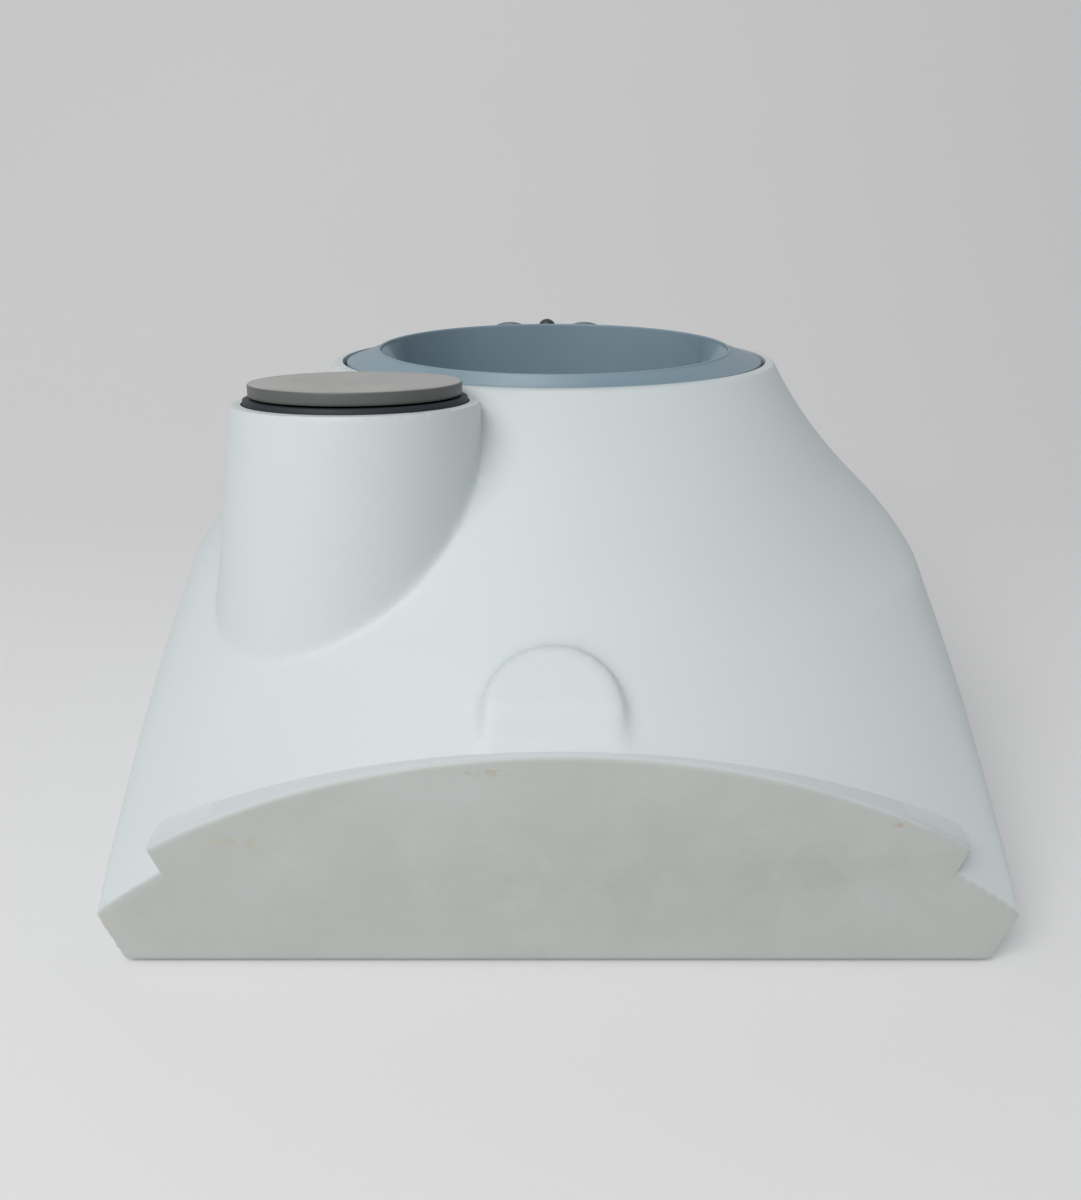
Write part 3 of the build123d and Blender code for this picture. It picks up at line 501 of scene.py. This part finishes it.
combine(
    hood,
    "DIFFERENCE",
    bell(wall, slope_wall, 0.0, rim_height + 2 * over_rim, 40, 180),
    (oval(rim, *opening, opening_low) + oval(rim, *opening, cutter_rise), quads(2, segments)),
    turret_cone(wall, turret_hollow_top, turret_length - 2.0),
    turned(turret, mouth_profile),
    prism(socket_outline, half_width - socket_depth, side_reach, side_plane),
    *screw_sinks,
)
# A third group changes the colour beyond a plane: it paints shade on the hood's face at -Y, a highlight on the dial's
# top, and wear on the dial's lower edge.
painted_light_and_wear_plane, face_in, face_out = group_tree(
    "painted_light_and_wear_plane",
    [
        ("Facing", "NodeSocketVector", (0.0, 0.0, 1.0)),
        ("Level", "NodeSocketFloat", 0.0),
        ("Fade", "NodeSocketFloat", 0.001),
        ("Mottle", "NodeSocketFloat", 40.0),
    ],
    [("Mask", "NodeSocketFloat")],
)
place = add_node(painted_light_and_wear_plane, "ShaderNodeTexCoord")
along = add_node(painted_light_and_wear_plane, "ShaderNodeVectorMath", operation="DOT_PRODUCT")
beyond = add_node(painted_light_and_wear_plane, "ShaderNodeMath", operation="SUBTRACT")
share = add_node(painted_light_and_wear_plane, "ShaderNodeMath", operation="DIVIDE", use_clamp=True)
mottle = add_node(painted_light_and_wear_plane, "ShaderNodeTexNoise", {"Detail": 3.0, "Roughness": 0.6})
patchy = add_node(painted_light_and_wear_plane, "ShaderNodeMapRange", {"From Min": 0.3, "From Max": 0.7, "To Min": 0.82, "To Max": 1.0})
product = add_node(painted_light_and_wear_plane, "ShaderNodeMath", operation="MULTIPLY")
for start, end in (
    (place.outputs["Object"], along.inputs[0]),
    (face_in.outputs["Facing"], along.inputs[1]),
    (place.outputs["Object"], mottle.inputs["Vector"]),
    (face_in.outputs["Mottle"], mottle.inputs["Scale"]),
    (along.outputs["Value"], beyond.inputs[0]),
    (face_in.outputs["Level"], beyond.inputs[1]),
    (beyond.outputs["Value"], share.inputs[0]),
    (face_in.outputs["Fade"], share.inputs[1]),
    (mottle.outputs["Fac"], patchy.inputs["Value"]),
    (share.outputs["Value"], product.inputs[0]),
    (patchy.outputs["Result"], product.inputs[1]),
    (product.outputs["Value"], face_out.inputs["Mask"]),
):
    painted_light_and_wear_plane.links.new(start, end)


def dirt_and_painted_shade_spot(centre, reach, break_up, tint):
    """A mark at a place in millimetres, for the list of a material's marks: dirt, and one broad patch of painted
    shade.
    """
    values = {"Centre": [v * mm for v in centre], "Reach": [v * mm for v in reach], "Break Up": break_up}
    return mark, values, tint


def painted_light_and_wear_face(facing, level_mm, fade, mottle_scale, tint):
    """A change of colour beyond a plane at a distance in millimetres, for the list of a material's marks: painted
    shade, a painted highlight and wear.
    """
    values = {"Facing": facing, "Level": level_mm * mm, "Fade": fade * mm, "Mottle": mottle_scale}
    return painted_light_and_wear_plane, values, tint


white_plastic = moulded(
    "white_plastic",
    (0.665, 0.718, 0.73),
    (0.64, 0.692, 0.708),
    0.48,
    0.25,
    (0.50, 0.51, 0.48),
    (9.0, 1400.0, 120.0),
    marks=(
        # Painted shade: the flat face at -Y, across the flange and the wings, is painted a darker grey-green where
        # less light falls on it.
        painted_light_and_wear_face((0.0, -1.0, 0.0), half_depth - 1.1, 0.9, 45.0, (0.465, 0.49, 0.47)),
        dirt_and_painted_shade_spot((-18.3, -129.0, 58.0), (7.0, 6.0, 1.3), 260.0, (0.42, 0.36, 0.27)),
        dirt_and_painted_shade_spot((86.0, -129.0, 43.0), (2.5, 3.0, 1.0), 400.0, (0.45, 0.38, 0.30)),
        dirt_and_painted_shade_spot((13.0, -112.4, 75.0), (1.6, 1.6, 1.6), 1500.0, (0.40, 0.37, 0.32)),
        dirt_and_painted_shade_spot((-82.0, -129.0, 37.5), (14.0, 6.0, 3.0), 240.0, (0.48, 0.465, 0.40)),
        dirt_and_painted_shade_spot((-118.0, -129.0, 14.6), (6.0, 8.0, 5.0), 500.0, (0.55, 0.52, 0.46)),
        dirt_and_painted_shade_spot((-37.9, -80.0, 137.0), (4.0, 4.0, 1.2), 900.0, (0.22, 0.20, 0.18)),
        # Painted shade: a broad mottled patch over the flat face at -Y, in nearly the same darker tint.
        dirt_and_painted_shade_spot((30.0, -129.0, 30.0), (110.0, 6.0, 26.0), 60.0, (0.452, 0.477, 0.455)),
    ),
)
settle(hood, white_plastic, "housing", "white_shell", "housing_shell")

# Well liner
# A blue-grey moulded cup drops into the hood's opening, with a raised round lip and a sloping deck.
# Its wall has two flat sides, and its floor has a sump for the pump's impeller.
well_y = 20.5
lip_z = 136.2
lip_lean = 1.9
lip_radius = 58.5
lip_half = 0.5
well_flat = 53.0
cup_radius = 61.1
cup_base = 45.0
floor_top = 49.0
sump_floor = 36.0
sump_radius = 24.0
guard_radius = 28.3
deck = (opening[0] - 1.4, opening[1] - 0.8)
lip = leaning((0.0, well_y, lip_z), lip_lean)
lip_far = well_y + lip_radius + 2 * lip_half
button_lean = 17.6
button_y = 89.5
button_z = lip_z - (lip_far - well_y) * math.tan(math.radians(lip_lean))
button_z -= (button_y - lip_far) * math.tan(math.radians(button_lean))
button_pitch = 14.6
button_x = -2.0
deck_thickness = 3.0
deck_round = 0.5
sump_base = 33.4
sump_wall = 2.6
probe_z = 98.0
grommet_radius = 5.0


def level(z):
    """Matrix of a level plane over the well's axis."""
    return Matrix.Translation((0.0, well_y, z))


liner_rings = [
    oval(level(0), radius, radius, z)
    for radius, z in (
        (0.01, sump_floor - 2.0),
        (1.5, sump_floor - 2.0),
        (1.5, sump_floor),
        (sump_radius - 0.8, sump_floor),
        (sump_radius, sump_floor + 0.8),
        (sump_radius, floor_top - 2.0),
        (guard_radius, floor_top - 2.0),
        (guard_radius, floor_top),
    )
]
liner_rings.append(oval(level(0), lip_radius - 2.0, lip_radius - 2.0, floor_top, well_flat - 2.0))
liner_rings.append(oval(level(0), lip_radius - 0.6, lip_radius - 0.6, floor_top + 0.6, well_flat - 0.6))
liner_rings.append(oval(level(0), lip_radius, lip_radius, floor_top + 2.0, well_flat))
for height in (-60.0, -40.0, -20.0, -8.0):
    liner_rings.append(oval(lip, lip_radius, lip_radius, height, well_flat))
liner_rings.append(oval(lip, lip_radius, lip_radius, -1.2, lip_radius - 0.3))
liner_rings.append(oval(lip, lip_radius, lip_radius, -1.0))
for i in range(9):
    t = math.pi * (1 - i / 8)
    reach = lip_radius + lip_half + lip_half * math.cos(t)
    liner_rings.append(oval(lip, reach, reach, lip_half * (math.sin(t) - 1.0)))
lip_edge = liner_rings[-1]
deck_edge = oval(rim, deck[0] - deck_round, deck[1] - deck_round, 0.0)
for i in range(1, 9):
    liner_rings.append([a.lerp(b, i / 8) for a, b in zip(lip_edge, deck_edge)])
liner_rings.append(oval(rim, deck[0] - 0.15, deck[1] - 0.15, -0.15))
liner_rings.append(oval(rim, *deck, -deck_round))
liner_rings.append(oval(rim, *deck, -deck_thickness))
under_deck = []
for point in oval(level(0), cup_radius, cup_radius, 0.0):
    fall = (point.y - rim_centre[1]) * math.tan(math.radians(rim_lean))
    under_deck.append(Vector((point.x, point.y, rim_centre[2] - deck_thickness - fall)))
liner_rings.append(under_deck)
sump_outer = sump_radius + sump_wall
for radius, z in ((cup_radius, cup_base), (sump_outer, cup_base), (sump_outer, sump_base), (0.01, sump_base)):
    liner_rings.append(oval(level(0), radius, radius, z))
liner = piece("liner", (sum(liner_rings, []), quads(len(liner_rings), segments)))
key_places = []
for step in (-1, 0, 1):
    spot = Matrix.Translation((step * button_pitch, 0, 0))
    key_places.append(leaning((button_x, button_y, button_z), button_lean) @ spot)
key_bores = (5.65, 3.35, 5.65)
key_sinks = (6.5, 4.54, 6.5)
key_hole_low = -9.0
key_hole_step = -2.5
key_hole_high = 4.0
key_holes = []
for spot, bore, sink in zip(key_places, key_bores, key_sinks):
    key_profile = [(0.01, key_hole_low), (sink, key_hole_low), (sink, key_hole_step)]
    key_profile += [(bore, key_hole_step), (bore, key_hole_high), (0.01, key_hole_high)]
    key_holes.append(turned(spot, key_profile, count=96))
probe_axis = Matrix.Translation((well_flat - 2.0, well_y, probe_z)) @ Matrix.Rotation(math.pi / 2, 4, "Y")
hole_length = 30.0
hole_profile = [(0.01, 0.0), (grommet_radius, 0.0), (grommet_radius, hole_length), (0.01, hole_length)]
combine(liner, "DIFFERENCE", *key_holes, turned(probe_axis, hole_profile, count=96))
liner_plastic = moulded(
    "liner_plastic", (0.247, 0.347, 0.413), (0.216, 0.306, 0.368), 0.42, 0.2, (0.36, 0.42, 0.46), (14.0, 1300.0, 90.0)
)
settle(liner, liner_plastic, "housing", "liner_grey", "well_liner")

# Well seal
# A dark rubber ring lies between the liner's deck and the hood's shelf, and shows as a thin dark line.
# It is cut from flat sheet and trimmed where the cup passes close to the rim.
seal_rings = []
for inset, height in ((0.5, -5.0), (0.5, -3.0), (3.0, -3.0), (3.0, -5.0)):
    points = []
    for point in oval(rim, opening[0] - inset, opening[1] - inset, height):
        away = max(math.hypot(point.x, point.y - well_y), 0.01)
        push = max(1.0, (cup_radius + 0.05) / away)
        points.append(Vector((point.x * push, well_y + (point.y - well_y) * push, point.z)))
    seal_rings.append(points)
seal = piece("seal", (sum(seal_rings, []), quads(4, segments, loop=True)))
seal_rubber = moulded(
    "seal_rubber", (0.035, 0.042, 0.050), (0.026, 0.032, 0.039), 0.65, 0.4, (0.07, 0.075, 0.08), (40.0, 1500.0, 200.0)
)
settle(seal, seal_rubber, "housing", "seal_rubber", "well_seal")

# Dial seat
# A moulded cup is pressed into the turret's mouth, and its edge shows as a ring under the dial; its near-black colour
# is painted shade for the gap under the dial.
# The dial's shaft runs in its hub, and two posts below it hold the encoder's board.
seat_radius = mouth - 0.5
seat_base = -9.0
seat_floor = -6.0
seat_top = 1.4
seat_round = 0.4
seat_inner = seat_radius - 3.0
hub_radius = 9.0
shaft_hole = 3.05
seat_profile = [(shaft_hole, seat_base), (seat_radius - seat_round, seat_base)]
seat_profile += [(seat_radius, seat_base + seat_round), (seat_radius, seat_top - seat_round)]
seat_profile += [(seat_radius - 0.12, seat_top - 0.12), (seat_radius - seat_round, seat_top)]
seat_profile += [(seat_inner, seat_top), (seat_inner, seat_floor), (hub_radius, seat_floor)]
seat_profile += [(hub_radius, seat_top), (shaft_hole, seat_top)]
seat_parts = [turned(turret, seat_profile, loop=True)]
post_reach = 13.0
post_bore = 1.5
post_radius = 3.2
post_low = -16.0
post_high = -8.5
post_profile = [(post_bore, post_low), (post_radius, post_low), (post_radius, post_high), (post_bore, post_high)]
for x in (-post_reach, post_reach):
    post = turret @ Matrix.Translation((x, 0, 0))
    seat_parts.append(turned(post, post_profile, loop=True, count=48))
seat = piece("seat", *seat_parts)
# Painted shade: the seat is coloured near-black for the shade in the gap under the dial.
seat_painted_shade = moulded(
    "seat_painted_shade", (0.022, 0.028, 0.036), (0.016, 0.021, 0.028), 0.58, 0.2, (0.10, 0.11, 0.12), (30.0, 1500.0, 160.0)
)
settle(seat, seat_painted_shade, "housing", "seat_dark", "dial_seat")

# Dial
# A warm grey disc, moulded with a small round on its edges, turns without end on the turret.
# Its edge is a little worn, with pale nicks, and its top face is painted a lighter grey as a painted highlight.
dial_radius = 29.5
dial_low = 1.9
dial_high = 5.6
dial_round = 0.7
shaft_radius = 3.0
shaft_top = 3.4
dial_profile = [(0.01, shaft_top), (shaft_radius, shaft_top), (shaft_radius, dial_low)]
for start, height in ((-90.0, dial_low + dial_round), (0.0, dial_high - dial_round)):
    for i in range(7):
        t = math.radians(start + 15.0 * i)
        dial_profile.append((dial_radius - dial_round * (1 - math.cos(t)), height + dial_round * math.sin(t)))
dial_profile += [(20.0, dial_high), (0.01, dial_high)]
dial = piece("dial_disc", turned(turret, dial_profile))
dial_normal = turret.to_3x3() @ Vector((0, 0, 1))
dial_top = (turret @ Vector((0, 0, dial_high))).dot(dial_normal)
dial_plastic = moulded(
    "dial_plastic",
    (0.112, 0.121, 0.115),
    (0.094, 0.101, 0.097),
    0.44,
    0.3,
    (0.40, 0.40, 0.38),
    (45.0, 1100.0, 260.0),
    marks=(
        # Painted highlight: the top face and the top of its round are painted a lighter grey.
        painted_light_and_wear_face(dial_normal, dial_top - 0.35, 0.3, 60.0, (0.43, 0.435, 0.42)),
        painted_light_and_wear_face(-dial_normal, dial_high - dial_low - 0.45 - dial_top, 0.25, 700.0, (0.27, 0.275, 0.265)),
    ),
)
settle(dial, dial_plastic, "dial", "dial_grey", "dial")

# Buttons
# Two round keys and a smaller start button between them stand in the deck behind the lip.
# Each is a turned moulding with a domed top and a flange below the deck that keeps it in.
key_plastic = moulded(
    "key_plastic", (0.17, 0.22, 0.25), (0.14, 0.185, 0.215), 0.45, 0.2, (0.25, 0.29, 0.31), (60.0, 1500.0, 200.0)
)
start_plastic = moulded(
    "start_plastic", (0.050, 0.058, 0.066), (0.038, 0.045, 0.052), 0.4, 0.2, (0.1, 0.11, 0.12), (60.0, 1500.0, 200.0)
)
key_kinds = (
    ("minus", 5.4, 0.9, 1.2, key_plastic, "key_grey"),
    ("start", 3.1, 1.6, 1.8, start_plastic, "key_dark"),
    ("plus", 5.4, 0.9, 1.2, key_plastic, "key_grey"),
)
key_foot = -3.6
for spot, (name, radius, stand, dome, finish, slot) in zip(key_places, key_kinds):
    crown = (radius * radius + dome * dome) / (2 * dome)
    profile = [(0.01, key_foot), (radius + 0.8, key_foot), (radius + 0.8, key_foot + 0.8), (radius, key_foot + 0.8)]
    profile.append((radius, stand - 0.3))
    for i in range(9):
        across = (radius - 0.06) * (1 - i / 8)
        profile.append((max(across, 0.01), stand + dome - crown + math.sqrt(crown * crown - across * across)))
    key = piece(name + "_key", turned(spot, profile, count=96))
    settle(key, finish, name + "_button", slot, name + "_button")

# Base plate
# A white flat moulding closes the hood from below, with slots for air and recesses for feet and screws.
base_plastic = moulded(
    "base_plastic", (0.68, 0.70, 0.71), (0.64, 0.66, 0.67), 0.5, 0.3, (0.45, 0.45, 0.44), (12.0, 1200.0, 120.0)
)


def dress(material, *names):
    """Gives a finish to pieces that keep the shape they were drawn with."""
    for name in names:
        nodes[name].data.materials.clear()
        nodes[name].data.materials.append(material)


dress(base_plastic, "base_plate")

# Screws
# Small cross-recessed steel screws hold the base plate from below and the mains inlet from the side.
# One tree makes a screw and sets a copy on every point, turned as asked.
screw_tree = bpy.data.node_groups.new("screw_row", "GeometryNodeTree")
screw_tree.interface.new_socket("Geometry", in_out="INPUT", socket_type="NodeSocketGeometry")
screw_tree.interface.new_socket("Geometry", in_out="OUTPUT", socket_type="NodeSocketGeometry")
screw_sockets = {}
for label, kind in (
    ("Head Radius", "NodeSocketFloat"),
    ("Head Height", "NodeSocketFloat"),
    ("Shank Radius", "NodeSocketFloat"),
    ("Shank Length", "NodeSocketFloat"),
    ("Slot", "NodeSocketVector"),
    ("Turn", "NodeSocketRotation"),
    ("Finish", "NodeSocketMaterial"),
):
    screw_sockets[label] = screw_tree.interface.new_socket(label, in_out="INPUT", socket_type=kind).identifier
given = screw_tree.nodes.new("NodeGroupInput")
result = screw_tree.nodes.new("NodeGroupOutput")


def wire(tree, *pairs):
    """Links pairs of sockets."""
    for start, end in pairs:
        tree.links.new(start, end)


def screw_cylinder(radius, depth, sign):
    """A round bar that stands on the origin plane, or hangs below it."""
    bar = add_node(screw_tree, "GeometryNodeMeshCylinder", {"Vertices": 48})
    half = add_node(screw_tree, "ShaderNodeMath", {1: sign * 0.5}, operation="MULTIPLY")
    place = add_node(screw_tree, "ShaderNodeCombineXYZ")
    shift = add_node(screw_tree, "GeometryNodeTransform")
    wire(
        screw_tree,
        (given.outputs[radius], bar.inputs["Radius"]),
        (given.outputs[depth], bar.inputs["Depth"]),
        (given.outputs[depth], half.inputs[0]),
        (half.outputs["Value"], place.inputs["Z"]),
        (bar.outputs["Mesh"], shift.inputs["Geometry"]),
        (place.outputs["Vector"], shift.inputs["Translation"]),
    )
    return shift.outputs["Geometry"]


head = screw_cylinder("Head Radius", "Head Height", 1.0)
shank = screw_cylinder("Shank Radius", "Shank Length", -1.0)
slot_place = add_node(screw_tree, "ShaderNodeCombineXYZ")
recess = add_node(screw_tree, "GeometryNodeMeshBoolean", operation="DIFFERENCE")
wire(screw_tree, (given.outputs["Head Height"], slot_place.inputs["Z"]), (head, recess.inputs["Mesh 1"]))
for quarter in (0.0, math.pi / 2):
    bar = add_node(screw_tree, "GeometryNodeMeshCube")
    shift = add_node(screw_tree, "GeometryNodeTransform", {"Rotation": (0.0, 0.0, quarter)})
    wire(
        screw_tree,
        (given.outputs["Slot"], bar.inputs["Size"]),
        (bar.outputs["Mesh"], shift.inputs["Geometry"]),
        (slot_place.outputs["Vector"], shift.inputs["Translation"]),
        (shift.outputs["Geometry"], recess.inputs["Mesh 2"]),
    )
whole = add_node(screw_tree, "GeometryNodeJoinGeometry")
spread = add_node(screw_tree, "GeometryNodeInstanceOnPoints")
real = add_node(screw_tree, "GeometryNodeRealizeInstances")
coat = add_node(screw_tree, "GeometryNodeSetMaterial")
wire(
    screw_tree,
    (recess.outputs["Mesh"], whole.inputs["Geometry"]),
    (shank, whole.inputs["Geometry"]),
    (given.outputs["Geometry"], spread.inputs["Points"]),
    (whole.outputs["Geometry"], spread.inputs["Instance"]),
    (given.outputs["Turn"], spread.inputs["Rotation"]),
    (spread.outputs["Instances"], real.inputs["Geometry"]),
    (real.outputs["Geometry"], coat.inputs["Geometry"]),
    (given.outputs["Finish"], coat.inputs["Material"]),
    (coat.outputs["Geometry"], result.inputs["Geometry"]),
)
screw_steel = moulded(
    "screw_steel", (0.56, 0.56, 0.57), (0.47, 0.47, 0.48), 0.32, 0.15, (0.35, 0.34, 0.32), (200.0, 2500.0, 900.0), 1.0
)
screw_head = 2.75
screw_height = 2.2
screw_shank = 1.5
screw_slot = (4.4, 0.8, 2.2)


def screw_row(name, places, turn, shank_length, node):
    """Screws at points in millimetres, as one piece that takes the place of a drawn one."""
    row = piece(name, (places, []))
    step = row.modifiers.new("screws", "NODES")
    step.node_group = screw_tree
    step[screw_sockets["Head Radius"]] = screw_head * mm
    step[screw_sockets["Head Height"]] = screw_height * mm
    step[screw_sockets["Shank Radius"]] = screw_shank * mm
    step[screw_sockets["Shank Length"]] = shank_length * mm
    step[screw_sockets["Slot"]] = [v * mm for v in screw_slot]
    step[screw_sockets["Turn"]] = turn
    step[screw_sockets["Finish"]] = screw_steel
    bake(row)
    settle(row, screw_steel, "housing", "steel", node)


base_recess = 2.4
base_shank = 14.0
base_spots = ((100.0, -112.0), (106.0, 0.0), (70.0, 100.0))
base_places = [(side * x, y, foot_height + base_recess) for x, y in base_spots for side in (-1, 1)]
screw_row("plate_screws", base_places, (math.pi, 0.0, 0.0), base_shank, "base_screws")
inlet_shank = 6.0
side_places = [(half_width - sink_depth, y, inlet_z) for y in inlet_screw_ys]
screw_row("socket_screws", side_places, (0.0, math.pi / 2, 0.0), inlet_shank, "inlet_screws")

# Rubber feet
# Four soft discs, with a small chamfer at the floor, are glued into the plate's recesses.
foot_rubber = moulded(
    "foot_rubber", (0.055, 0.055, 0.056), (0.042, 0.042, 0.043), 0.8, 0.5, (0.12, 0.12, 0.12), (80.0, 1600.0, 300.0)
)
foot_radius = 10.0
foot_chamfer = 0.5
foot_thickness = 2.2
foot_profile = [(0.01, 0.0), (foot_radius - foot_chamfer, 0.0), (foot_radius, foot_chamfer)]
foot_profile += [(foot_radius, foot_thickness), (0.01, foot_thickness)]
foot_x = 92.0
foot_y = 84.0
foot_places = [Matrix.Translation((x, y, 0.0)) for x in (-foot_x, foot_x) for y in (-foot_y, foot_y)]
feet = piece("feet", *[turned(spot, foot_profile, count=96) for spot in foot_places])
settle(feet, foot_rubber, "housing", "foot_rubber", "rubber_feet")

# Temperature probe
# A steel pocket with a round tip reaches into the water through a grommet in the cup's flat wall.
probe_steel = moulded(
    "probe_steel", (0.62, 0.62, 0.62), (0.54, 0.54, 0.545), 0.25, 0.1, (0.42, 0.41, 0.40), (120.0, 2000.0, 500.0), 1.0
)
grommet_rubber = moulded(
    "grommet_rubber", (0.06, 0.06, 0.062), (0.045, 0.045, 0.047), 0.7, 0.4, (0.12, 0.12, 0.12), (90.0, 1500.0, 300.0)
)
probe_radius = 2.5
probe_nose = 2.3
probe_length = 26.0
probe_reach = 10.0
probe_profile = [(0.01, 0.0)]
for i in range(1, 10):
    t = math.radians(10.0 * i)
    probe_profile.append((probe_radius * math.sin(t), probe_nose - probe_nose * math.cos(t)))
probe_profile += [(probe_radius, probe_length), (0.01, probe_length)]
probe_spot = Matrix.Translation((well_flat - probe_reach, well_y, probe_z)) @ Matrix.Rotation(math.pi / 2, 4, "Y")
probe = piece("probe", turned(probe_spot, probe_profile, count=96))
settle(probe, probe_steel, "housing", "steel", "temperature_probe")
grommet_face = 8.6
grommet_back = 18.0
grommet_flange = 6.4
grommet_bevel = 0.3
grommet_profile = [(probe_radius, grommet_face), (grommet_flange - grommet_bevel, grommet_face)]
grommet_profile += [(grommet_flange, grommet_face + grommet_bevel), (grommet_flange, probe_reach)]
grommet_profile += [(grommet_radius, probe_reach), (grommet_radius, grommet_back), (probe_radius, grommet_back)]
grommet = piece("grommet_ring", turned(probe_spot, grommet_profile, loop=True, count=96))
settle(grommet, grommet_rubber, "housing", "grommet", "probe_grommet")

# Pump, heater and electronics
# These stand inside, out of sight: moulded pump parts, a wound motor, a band heater and two boards.
pump_plastic = moulded(
    "pump_plastic", (0.70, 0.70, 0.68), (0.64, 0.64, 0.62), 0.45, 0.2, (0.5, 0.5, 0.48), (40.0, 1300.0, 200.0)
)
dress(pump_plastic, "impeller", "impeller_guard", "drive_rotor")
dress(
    probe_steel, "impeller_pin", "dial_shaft", "motor_can", "motor_bearings", "motor_shaft", "motor_screws",
    "heater_band", "encoder_screws", "control_screws", "power_screws",
)
magnet_ferrite = moulded(
    "magnet_ferrite", (0.10, 0.10, 0.105), (0.075, 0.075, 0.08), 0.6, 0.4, (0.16, 0.16, 0.16), (150.0, 1800.0, 400.0)
)
dress(magnet_ferrite, "impeller_magnet", "drive_magnet")
motor_copper = moulded(
    "motor_copper", (0.75, 0.40, 0.26), (0.62, 0.31, 0.19), 0.35, 0.5, (0.45, 0.22, 0.14), (200.0, 1500.0, 500.0), 1.0
)
dress(motor_copper, "motor_stator", "motor_armature")
terminal_brass = moulded(
    "terminal_brass", (0.72, 0.58, 0.30), (0.62, 0.48, 0.23), 0.3, 0.2, (0.45, 0.34, 0.16), (150.0, 2000.0, 500.0), 1.0
)
dress(terminal_brass, "heater_terminals", "inlet_pins")
board_green = moulded(
    "board_green", (0.05, 0.20, 0.10), (0.035, 0.155, 0.075), 0.4, 0.3, (0.55, 0.50, 0.35), (60.0, 1500.0, 250.0)
)
dress(board_green, "encoder_board", "control_board", "power_board")
component_black = moulded(
    "component_black",
    (0.035, 0.035, 0.037),
    (0.026, 0.026, 0.028),
    0.5,
    0.3,
    (0.09, 0.09, 0.09),
    (90.0, 1500.0, 300.0),
)
dress(
    component_black, "encoder_body", "tact_switches", "thermal_cutout", "transformer", "heater_relay", "mains_inlet",
)
can_aluminium = moulded(
    "can_aluminium", (0.66, 0.67, 0.68), (0.58, 0.59, 0.60), 0.35, 0.2, (0.45, 0.45, 0.45), (100.0, 1800.0, 400.0), 1.0
)
dress(can_aluminium, "filter_capacitor")

# Floor and backdrop
# The photo's table and wall are one pale sheet that curves up behind the object.
sweep_start = 250.0
sweep_radius = 850.0
floor_gap = 0.05
sweep_profile = [(-3000.0, -floor_gap)]
for i in range(49):
    t = math.radians(90.0 * i / 48)
    sweep_profile.append((sweep_start + sweep_radius * math.sin(t), sweep_radius * (1 - math.cos(t)) - floor_gap))
sweep_profile.append((sweep_start + sweep_radius, 4000.0))
sweep_points = [Vector((x, y, z)) for x in (-4000.0, 4000.0) for y, z in sweep_profile]
row = len(sweep_profile)
backdrop = bpy.data.objects.new("backdrop", bpy.data.meshes.new("backdrop"))
backdrop.data.from_pydata(
    [p * mm for p in sweep_points], [], [(i + 1, i, row + i, row + i + 1) for i in range(row - 1)]
)
backdrop.data.shade_smooth()
scene.collection.objects.link(backdrop)
backdrop_paper = moulded(
    "backdrop_paper", (0.85, 0.85, 0.855), (0.835, 0.835, 0.84), 0.8, 0.1, (0.83, 0.83, 0.835), (0.8, 300.0, 30.0)
)
backdrop.data.materials.append(backdrop_paper)

# Light and camera
# A broad soft lamp stands above and to the left, and the room fills the rest with even white light.
world = bpy.data.worlds.new("room")
world.use_nodes = True
world.node_tree.nodes["Background"].inputs["Color"].default_value = (0.97, 0.985, 1.0, 1.0)
world.node_tree.nodes["Background"].inputs["Strength"].default_value = 0.38
scene.world = world
lamp = bpy.data.objects.new("lamp", bpy.data.lights.new("lamp", "AREA"))
lamp.data.shape = "DISK"
lamp.data.size = 1.2
lamp.data.energy = 13.5
lamp.data.color = (1.0, 0.99, 0.97)
lamp.location = (-0.48, -0.95, 1.1)
lamp.rotation_euler = (Vector((0.0, -0.02, 0.08)) - lamp.location).to_track_quat("-Z", "Y").to_euler()
scene.collection.objects.link(lamp)
camera = bpy.data.objects.new("camera", bpy.data.cameras.new("camera"))
camera.data.sensor_fit = "VERTICAL"
camera.data.sensor_height = 36.0
camera.data.lens = 34.5
camera.location = (-0.0046, -0.3742, 0.2049)
camera.rotation_euler = (math.radians(67.64), 0.0, 0.0)
scene.collection.objects.link(camera)
scene.camera = camera
